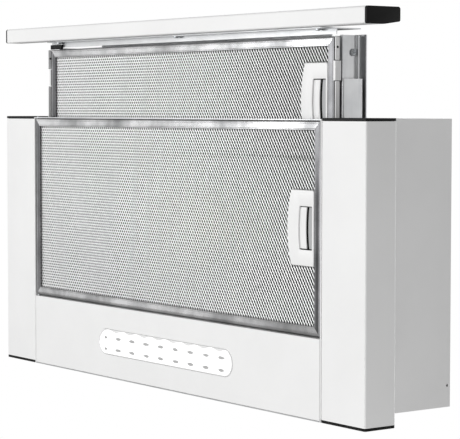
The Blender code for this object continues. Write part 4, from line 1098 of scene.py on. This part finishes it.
    def pack(self) -> None:
        """Mesh pack behind the face layer: a slab whose face is gently pleated.

        The face lies pleat * cos(2 pi x / pleat_pitch) off its plane, and the back is flat. The slab
        leaves out the latch, so it is one wide piece and two narrow ones before and behind the latch.
        """
        inner = HIDDEN_UNDER_FRAME
        x0, x1 = self.low.x + self.border - inner, self.high.x - self.border + inner
        y0, y1 = self.low.y + self.border - inner, self.high.y - self.border + inner
        x1 = min(x1, self.latch_high.x - self.latch_width - self.bulge - 0.3 * MM)
        low = self.low.z + self.skin + self.pack_above_skin
        high = self.high.z - self.skin - 0.2 * MM
        self.pack_slab(self.word + "_pack_wide", x0, x1, y0, y1, low, high)
        far = self.high.x - self.border + inner
        half = self.latch_length / 2 + self.pack_room
        self.pack_slab(self.word + "_pack_front", x1 + 0.01 * MM, far, y0, self.latch_y - half, low, high)
        self.pack_slab(self.word + "_pack_rear", x1 + 0.01 * MM, far, self.latch_y + half, y1, low, high)

    def pack_slab(
        self, name: str, x0: float, x1: float, y0: float, y1: float, low: float, high: float
    ) -> None:
        """One slab of the pack with a pleated face.

        Args:
            name: piece name.
            x0, x1: its ends along X.
            y0, y1: its ends along Y.
            low: middle height of its face.
            high: height of its back.
        """
        x = np.linspace(x0, x1, max(int((x1 - x0) / (2.0 * MM)), 4))
        wave = self.pleat * np.cos(2 * np.pi * x / self.pleat_pitch)
        under = np.stack([x, low + wave], -1)
        over = np.stack([x[::-1], np.full(len(x), high)], -1)
        outline = np.concatenate([under, over])
        loft(name, [stand(outline, "Y", y) for y in (y0, y1)], FilterPack(), self.body)

    def latch_outline(self, grow: float) -> np.ndarray:
        """Plate outline with a bowed left side: x = left - bulge * (1 - s^2), s from -1 to 1 along it.

        Args:
            grow: how far it is moved outward.

        Returns:
            (n, 2) points.
        """
        right = self.latch_high.x + grow
        left = self.latch_high.x - self.latch_width - grow
        half = self.latch_length / 2 + grow
        s = np.linspace(1, -1, 33)
        bow = np.stack([left - self.bulge * (1 - s**2), self.latch_y + half * s], -1)
        ends = np.array([(right, self.latch_y - half), (right, self.latch_y + half)])
        return np.concatenate([ends, bow])

    def around(self, outline: np.ndarray, centre: np.ndarray, steps: int = 128) -> np.ndarray:
        """Where rays from the centre meet an outline, so that two outlines share their point count.

        For ray direction d and side p + s e, the ray distance is cross(p - c, e) / cross(d, e) where s
        lies in 0 to 1; the nearest positive one counts.

        Args:
            outline: (n, 2) points in order.
            centre: where the rays start.
            steps: how many rays.

        Returns:
            (steps, 2) points.
        """
        angle = np.linspace(0, 2 * np.pi, steps, endpoint=False) + 0.5 * np.pi / steps
        d = np.stack([np.cos(angle), np.sin(angle)], -1)[:, None]
        p = outline[None] - centre
        e = (np.roll(outline, -1, 0) - outline)[None]
        below = d[..., 0] * e[..., 1] - d[..., 1] * e[..., 0]
        below = np.where(np.abs(below) < 1e-12, 1e-12, below)
        reach = (p[..., 0] * e[..., 1] - p[..., 1] * e[..., 0]) / below
        s = (p[..., 0] * d[..., 1] - p[..., 1] * d[..., 0]) / below
        reach = np.where((s >= -1e-9) & (s <= 1 + 1e-9) & (reach > 0), reach, np.inf)
        return centre + d[:, 0] * reach.min(1)[:, None]

    def slot_outline(self, grow: float) -> np.ndarray:
        """Finger slot: straight on the right and bowed inward on the left.

        Args:
            grow: how far it is moved outward.

        Returns:
            (n, 2) points.
        """
        right = self.latch_high.x - self.slot_edge + grow
        left = right - self.slot_width - 2 * grow
        half = self.slot_length / 2 + grow
        s = np.linspace(1, -1, 25)
        bow = np.stack([left + 1.6 * MM * s**2, self.latch_y + half * s], -1)
        ends = np.array([(right, self.latch_y - half), (right, self.latch_y + half)])
        return np.concatenate([ends, bow])

    def latch(self) -> None:
        """Latch housing, its back plate and its slider."""
        face = self.latch_low.z
        top = self.latch_high.z
        centre = np.array([self.latch_high.x - self.slot_edge - self.slot_width / 2, self.latch_y])
        outer = self.latch_outline(0)
        skirt_end = top - self.latch_back - 0.3 * MM
        rings = [stand(self.around(outer, centre), "Z", skirt_end)]
        for t in np.linspace(0, np.pi / 2, 5):
            ring = self.around(self.latch_outline(-self.latch_round * (1 - np.cos(t))), centre)
            rings.append(stand(ring, "Z", face + self.latch_round * (1 - np.sin(t))))
        for t in np.linspace(0, np.pi / 2, 4):
            ring = self.around(self.slot_outline(self.slot_round * (1 - np.sin(t))), centre)
            rings.append(stand(ring, "Z", face + self.slot_round * (1 - np.cos(t))))
        window = self.around(self.slot_outline(0), centre)
        skirt = self.around(self.latch_outline(-self.latch_wall), centre)
        under = face + self.latch_face
        rings += [stand(window, "Z", under), stand(skirt, "Z", under), stand(skirt, "Z", skirt_end)]
        housing = self.word + "_latch_housing"
        loft(self.word + "_latch_cover", rings, WHITE_ABS, self.body, (housing,), loop=True)

        floor = self.around(self.latch_outline(0), centre)
        plate = [stand(floor, "Z", top - self.latch_back), stand(floor, "Z", top)]
        loft(self.word + "_latch_back", plate, BLACK_ABS, self.body)
        self.slider()

    def slider(self) -> None:
        """Slider: a bowed finger rib and a tongue, with the fixed plate, grey as painted shade of the slot's
        floor, and a black strip of painted shade in the gap beside the rib.
        """
        node = self.word + "_latch_slider"
        low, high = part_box(node)
        half = (high.y - low.y) / 2 - self.slider_play
        left = low.x + self.rib_in
        right = left + self.rib_width
        s = np.linspace(-1, 1, self.slider_steps)
        bow = self.rib_bow * (1 - s**2)
        y = self.latch_y + half * s
        rib = self.bowed(right - bow, np.full(self.slider_steps, left), y)
        rings = [stand(inset(rib, self.rib_round), "Z", low.z)]
        rings.append(stand(inset(rib, 0.3 * self.rib_round), "Z", low.z + 0.3 * self.rib_round))
        rings += [stand(rib, "Z", low.z + self.rib_round), stand(rib, "Z", high.z)]
        loft(self.word + "_latch_rib", rings, WHITE_ABS, self.latch_body, (node,))
        # The plate's grey is painted shade of the slot's floor.
        edge = self.latch_high.x - self.slot_edge + 0.4 * MM
        plate = self.bowed(right + 2.2 * MM - bow, np.full(self.slider_steps, edge), y)
        deep = low.z + self.plate_depth
        back = deep + self.plate_thickness
        rings = [stand(plate, "Z", deep), stand(plate, "Z", back)]
        loft(self.word + "_latch_plate", rings, SLOT_FLOOR_SHADE_GREY, self.body)
        # The black strip in the gap is painted shade where the rib's side lies in shadow.
        gap = self.bowed(right + 2.1 * MM - bow, right + 0.05 * MM - bow[::-1], y)
        rings = [stand(gap, "Z", deep - 0.3 * MM), stand(gap, "Z", back)]
        loft(self.word + "_latch_gap_shade", rings, PAINTED_GAP_SHADE, self.body)
        near, far = self.latch_y - self.tongue_half, self.latch_y + self.tongue_half
        corners = rectangle(right + 2 * MM, high.x, near, far)
        tongue = rounded_outline(corners, np.full(4, 0.6 * MM), 3)
        rings = [stand(tongue, "Z", deep + 0.6 * MM), stand(tongue, "Z", high.z)]
        loft(self.word + "_latch_tongue", rings, WHITE_ABS, self.latch_body)

    def bowed(self, out: np.ndarray, back: np.ndarray, y: np.ndarray) -> np.ndarray:
        """Outline that runs along Y on one side and back on the other.

        Args:
            out: X of the first side at each y.
            back: X of the second side, in the way back.
            y: places along the slider.

        Returns:
            (2 n, 2) points.
        """
        return np.concatenate([np.stack([out, y], -1), np.stack([back, y[::-1]], -1)])


@dataclass
class DrawerWeb:
    """Thin folded webs of the drawer beside its filter, open where the stop clips sit."""

    word: str
    sheet: float = 0.9 * MM
    out: float = 3.2 * MM
    drop: float = 1.2 * MM
    rise: float = 3.2 * MM
    clear: float = 0.6 * MM
    corner: float = 0.8 * MM
    rivet_from_front: float = 9.0 * MM
    rivet_radius: float = 1.1 * MM
    rivet_proud: float = 0.12 * MM
    steps: int = 24

    def build(self) -> None:
        """Make the web's two lengths on this side."""
        low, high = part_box("drawer_filter_frame")
        clip_low, clip_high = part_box("drawer_stop_clip_" + self.word)
        side = 1.0 if self.word == "right" else -1.0
        inside = (high.x if side > 0 else -low.x) + self.out
        z0, z1 = low.z - self.drop, low.z + self.rise
        self.length("front", side, inside, (low.y, clip_low.y - self.clear), (z0, z1))
        self.length("rear", side, inside, (clip_high.y + self.clear, high.y), (z0, z1))

    def length(
        self,
        name: str,
        side: float,
        inside: float,
        y_range: tuple[float, float],
        z_range: tuple[float, float],
    ) -> None:
        """One length: a plate in YZ with rounded corners, as thick as the sheet.

        Args:
            name: "front" or "rear"; the front length also has the rivet.
            side: +1 on the right of the drawer.
            inside: distance of its inner face from the middle of the hood.
            y_range: its ends along Y.
            z_range: its ends along Z.
        """
        outline = rounded_outline(rectangle(*y_range, *z_range), np.full(4, self.corner))
        rings = [stand(outline, "X", side * x) for x in (inside, inside + self.sheet)]
        loft(f"drawer_web_{self.word}_{name}", rings, POWDER_COAT, "drawer")
        if name == "front":
            angle = np.linspace(0, 2 * math.pi, self.steps, endpoint=False)
            centre = (y_range[0] + self.rivet_from_front, (z_range[0] + z_range[1]) / 2)
            ring = self.rivet_radius * np.stack([np.cos(angle), np.sin(angle)], -1) + centre
            ends = (inside - self.rivet_proud, inside + self.sheet + self.rivet_proud)
            rings = [stand(ring, "X", side * x) for x in ends]
            loft(f"drawer_web_{self.word}_rivet", rings, BLACK_ABS, "drawer")


@dataclass
class Slides:
    """Telescopic slide members: rolled C sections with rounded bends."""

    sheet: float = 1.2 * MM
    bend: float = 1.6 * MM

    def build(self) -> None:
        """Make all six members from their CAD boxes."""
        for word, side in (("left", -1.0), ("right", 1.0)):
            for kind, body, opening in (
                ("drawer", "drawer", side), ("middle", "slide_middles", -side), ("body", "hood_body", -side),
            ):
                self.member(f"{word}_{kind}_slide", body, opening)

    def member(self, node: str, body: str, opening: float) -> None:
        """One member: the C's web on the far side from its opening, each bend turned by arcs.

        Args:
            node: CAD node that it stands for.
            body: CAD body that it moves with.
            opening: +1 when the C opens toward +X.
        """
        low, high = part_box(node)
        web = low.x if opening > 0 else high.x
        lip = high.x if opening > 0 else low.x
        t = np.linspace(0, np.pi / 2, 7)
        outer, inner = [], []
        for z, way in ((low.z, 1.0), (high.z, -1.0)):
            turn = t if way > 0 else t[::-1]
            for radius, shell in ((self.bend, outer), (self.bend - self.sheet, inner)):
                x = web + opening * (self.bend - radius * np.sin(turn))
                up = z + way * (self.bend - radius * np.cos(turn))
                shell.append(np.stack([x, up], -1))
        lips = [(lip, low.z), (lip, low.z + self.sheet), (lip, high.z - self.sheet), (lip, high.z)]
        outline = np.concatenate([
            [lips[0]], outer[0], outer[1], [lips[3]], [lips[2]], inner[1][::-1], inner[0][::-1], [lips[1]],
        ])
        loft(node + "_section", [stand(outline, "Y", y) for y in (low.y, high.y)], ZINC_STRIP, body, (node,))


@dataclass
class Screws:
    """Pan-head screws with a cross recess."""

    nodes: dict[str, tuple[str, float]] = field(default_factory=lambda: {
        "bar_screw_left": ("Y", 1.0), "bar_screw_middle": ("Y", 1.0), "bar_screw_right": ("Y", 1.0),
        "slide_screw_left": ("X", -1.0), "slide_screw_right": ("X", 1.0),
    })
    shank: float = 1.7 * MM
    rings: int = 14
    spokes: int = 48

    def build(self) -> None:
        """Make each screw from its CAD box."""
        for node, (axis, way) in self.nodes.items():
            self.screw(node, axis, way)

    def screw(self, node: str, axis: str, way: float) -> None:
        """One screw whose head looks along way on the axis.

        Head height at radius r and angle a is h (1 - 0.45 (r / R)^2), less the recess: a smooth pit of
        depth 0.6 h where |sin 2a| r is under 0.26 R and r is under 0.60 R.

        Args:
            node: CAD screw that it stands for.
            axis: the screw's axis.
            way: +1 when the head looks toward the + end of that axis.
        """
        low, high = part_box(node)
        k = "XYZ".index(axis)
        others = [i for i in range(3) if i != k]
        centre = np.array([(low[i] + high[i]) / 2 for i in others])
        radius = (high[others[0]] - low[others[0]]) / 2
        top = high[k] if way > 0 else low[k]
        length = high[k] - low[k]
        head = min(1.8 * MM, length * 0.35)
        r = np.linspace(radius, 0.02 * radius, self.rings)[:, None]
        a = np.linspace(0, 2 * np.pi, self.spokes, endpoint=False)[None, :]
        blade = np.abs(np.sin(2 * a)) * r
        pit = np.clip(1 - blade / (0.26 * radius), 0, 1)
        pit = pit * np.clip((0.60 * radius - r) / (0.2 * radius), 0, 1)
        height = -head * 0.45 * (r / radius) ** 2 - 0.6 * head * pit
        flat = np.stack([r * np.cos(a) + centre[0], r * np.sin(a) + centre[1]], -1)
        rings = []
        tip = top - way * length
        neck = top - way * head
        turn = np.stack([np.cos(a[0]), np.sin(a[0])], -1)
        chamfer = tip + way * 0.6 * MM
        shank = self.shank
        for reach, place in ((shank * 0.6, tip), (shank, chamfer), (shank, neck), (radius, neck)):
            rings.append(stand(turn * reach + centre, axis, place))
        for i in range(self.rings):
            rings.append(stand(flat[i], axis, top + way * height[i]))
        loft(node + "_head", rings, ZINC_SCREW, body_of(frame["nodes"][node])[0], (node,))


@dataclass
class Lamp:
    """Frosted lens: a flat face with a soft rim, on a flange that sits in the tray."""

    rim: float = 0.6 * MM
    flange: float = 2 * MM
    flange_thickness: float = 1.0 * MM

    def build(self) -> None:
        """Make the lens from round-ended outlines: the flange, its step and the filleted face."""
        low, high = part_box("lamp_lens")
        flange = self.flange
        radius = (high.y - low.y) / 2 - flange
        y = (low.y + high.y) / 2
        half = (high.x - low.x) / 2 - flange
        corners = rectangle(-half, half, y - radius, y + radius)
        outline = rounded_outline(corners, np.full(4, radius * 0.999), 16)
        corners = rectangle(low.x, high.x, low.y, high.y)
        wide = rounded_outline(corners, np.full(4, (radius + flange) * 0.999), 16)
        seat = high.z - self.flange_thickness
        rings = [stand(wide, "Z", high.z), stand(wide, "Z", seat), stand(outline, "Z", seat)]
        rings += fillet_rings(outline, "Z", low.z, self.rim, 1.0)
        loft("lamp_diffuser", rings, LampGlow(), "hood_body", ("lamp_lens",))


@dataclass
class Outlet:
    """Duct collar, turned finer than its CAD solid."""

    outer: float = 60 * MM
    inner: float = 57.5 * MM
    lip: float = 54.5 * MM
    seat: float = 123.5 * MM
    seat_depth: float = 2 * MM
    flange: float = 2.5 * MM
    edge: float = 0.6 * MM
    root: float = 1.2 * MM

    def build(self) -> None:
        """Make the collar from its CAD box: flange, wall with a rounded lip and the flap seat."""
        low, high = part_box("outlet_collar")
        centre = ((low.x + high.x) / 2, (low.y + high.y) / 2)
        reach = (high.x - low.x) / 2
        base, top = low.z, high.z
        over = base + self.flange
        profile = np.array([
            (self.lip, self.seat - self.seat_depth), (self.inner, self.seat - self.seat_depth),
            (self.inner, base), (reach - self.edge, base), (reach, base + self.edge),
            (reach, over - self.edge), (reach - self.edge, over), (self.outer + self.root, over),
            (self.outer + 0.4 * MM, over + 0.4 * MM), (self.outer, over + self.root),
            (self.outer, base + 12 * MM), (self.outer, base + 12.5 * MM),
            (self.outer, top - 1.2 * MM), (self.outer - 0.4 * MM, top - 0.3 * MM),
            (self.outer - 1.2 * MM, top), (self.inner + 0.4 * MM, top), (self.inner, top - 0.4 * MM),
            (self.inner, self.seat), (self.lip + 0.3 * MM, self.seat), (self.lip, self.seat - 0.3 * MM),
        ])
        turned("duct_collar", profile, "Z", centre, BLACK_ABS, "hood_body", ("outlet_collar",))


CAD_FINISHES: dict[str, Finish] = {
    "housing_shell": POWDER_COAT, "rear_panel": ZINC_STRIP, "front_panel": POWDER_COAT,
    "front_tie_strip": ZINC_STRIP, "light_panel": POWDER_COAT, "lamp_tray": WHITE_ABS,
    "led_board": SOLDER_MASK, "blower_half_left": GREY_PP, "blower_half_right": GREY_PP,
    "inlet_ring_left": GREY_PP, "inlet_ring_right": GREY_PP, "impeller": BLACK_ABS,
    "fan_shaft": ZINC_SCREW, "motor_body": MOTOR_CAN, "motor_bracket": ZINC_STRIP,
    "outlet_flap_front": BLACK_ABS, "outlet_flap_rear": BLACK_ABS, "flap_pin": ZINC_SCREW,
    "wiring_box": GREY_PP, "run_capacitor": CAN_ALUMINIUM, "cable_gland": BLACK_ABS,
    "front_bar": POWDER_COAT, "drawer_frame": ZINC_STRIP, "bar_corner_block": BLACK_ABS,
    "drawer_stop_clip_left": WHITE_ABS, "drawer_stop_clip_right": WHITE_ABS,
    "control_plate": BLACK_ABS, "fan_speed_knob": WHITE_ABS, "lamp_knob": WHITE_ABS,
    "filter_front_pin": ZINC_SCREW, "filter_rear_pin": ZINC_SCREW,
}


def dress_cad_nodes() -> None:
    """Give each CAD node that stays in sight its finish."""
    for node, finish in CAD_FINISHES.items():
        mesh = frame["nodes"][node].data
        mesh.materials.clear()
        mesh.materials.append(material_of(finish))


@dataclass
class Studio:
    """Camera, soft light, pale floor and white surround."""

    camera_at: tuple[float, float, float] = (1.49484, -0.27007, -1.05577)
    forward: tuple[float, float, float] = (-0.80345519, 0.05819551, 0.59251417)
    image_up: tuple[float, float, float] = (-0.0471579, -0.99830506, 0.03410486)
    lens_mm: float = 147.53
    floor_z: float = -2.4
    surround_strength: float = 0.32

    def build(self) -> None:
        """Set up everything around the hood."""
        self.camera()
        self.floor()
        self.surround()
        self.softbox("low softbox", (0.0, -0.5, -1.7), (0, -0.15, -0.03), 1.5, 1.5, 2.3)
        self.softbox("side softbox", (2.3, -0.1, 1.75), (0.2, -0.2, 0.0), 1.3, 1.3, 0.72)
        self.softbox("far left softbox", (-2.9, -0.35, -1.5), (0, -0.2, 0.0), 1.5, 1.5, 0.5)
        self.softbox("strip softbox", (-1.05, -0.50, -1.30), (0, -0.26, 0.0), 0.7, 0.5, 3.2)
        self.softbox("rear low softbox", (0.72, 0.30, -0.30), (0.24, -0.08, 0.03), 0.4, 0.4, 1.8)
        self.softbox("overhead softbox", (-0.3, -0.6, 2.2), (0, -0.15, 0.0), 2.4, 2.4, 2.2)
        scene = bpy.context.scene
        scene.view_settings.view_transform = "Standard"

    def camera(self) -> None:
        """Camera that looks up at the hood's underside from the right."""
        forward = Vector(self.forward).normalized()
        right = forward.cross(Vector(self.image_up)).normalized()
        up = right.cross(forward)
        turn = Matrix((right, up, -forward)).transposed().to_4x4()
        data = bpy.data.cameras.new("camera")
        data.lens = self.lens_mm
        data.sensor_width = 36
        data.sensor_fit = "HORIZONTAL"
        data.clip_end = 50
        made = bpy.data.objects.new("camera", data)
        made.matrix_world = Matrix.Translation(self.camera_at) @ turn
        bpy.context.scene.collection.objects.link(made)
        bpy.context.scene.camera = made

    def floor(self) -> None:
        """Flat pale floor well below the hood."""
        size = 14.0
        x, y = np.meshgrid(np.linspace(-size, size, 9), np.linspace(-size, size, 9))
        points = np.stack([x.ravel(), y.ravel(), np.full(x.size, self.floor_z)], -1)
        i, j = (v.ravel() for v in np.meshgrid(np.arange(8), np.arange(8)))
        faces = np.stack([i * 9 + j, i * 9 + j + 1, (i + 1) * 9 + j + 1, (i + 1) * 9 + j], -1)
        mesh = bpy.data.meshes.new("floor")
        mesh.from_pydata(points.tolist(), [], faces.tolist())
        made = bpy.data.objects.new("floor", mesh)
        bpy.context.scene.collection.objects.link(made)
        mesh.materials.append(material_of(STUDIO_FLOOR))

    def surround(self) -> None:
        """White surround: full white behind the hood, softer as a source of light."""
        world = bpy.data.worlds.new("surround")
        world.use_nodes = True
        tree = world.node_tree
        back = tree.nodes["Background"]
        back.inputs["Color"].default_value = (1, 1, 1, 1)
        ray = add_node(tree, "ShaderNodeLightPath")
        strength = add_node(
            tree, "ShaderNodeMapRange", {"To Min": self.surround_strength, "To Max": 1.0},
            {"Value": ray.outputs["Is Camera Ray"]},
        )
        tree.links.new(strength.outputs["Result"], back.inputs["Strength"])
        bpy.context.scene.world = world

    def softbox(
        self, name: str, place: tuple[float, float, float], target: tuple[float, float, float],
        width: float, depth: float, radiance: float,
    ) -> None:
        """Rectangular area light aimed at a target; its power is pi * area * radiance.

        Args:
            name: name of the light.
            place: its centre.
            target: point that it looks at.
            width, depth: its sides.
            radiance: how bright its face is.
        """
        data = bpy.data.lights.new(name, "AREA")
        data.shape = "RECTANGLE"
        data.size = width
        data.size_y = depth
        data.energy = math.pi * width * depth * radiance
        made = bpy.data.objects.new(name, data)
        made.location = place
        made.rotation_euler = (Vector(target) - Vector(place)).to_track_quat("-Z", "Y").to_euler()
        made.visible_camera = False
        bpy.context.scene.collection.objects.link(made)


def main() -> None:
    """Build the looks in order."""
    logging.basicConfig(level=logging.INFO, format="%(message)s")
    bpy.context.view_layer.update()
    dress_cad_nodes()
    for word in ("left", "right"):
        SideRail(word).build()
    BarCaps().build()
    GreaseFilter("main", "main_filter", "main_latch").build()
    GreaseFilter("drawer", "drawer", "drawer_latch").build()
    for word in ("left", "right"):
        DrawerWeb(word).build()
    Slides().build()
    Screws().build()
    Lamp().build()
    Outlet().build()
    Studio().build()


if __name__ == "__main__":
    main()
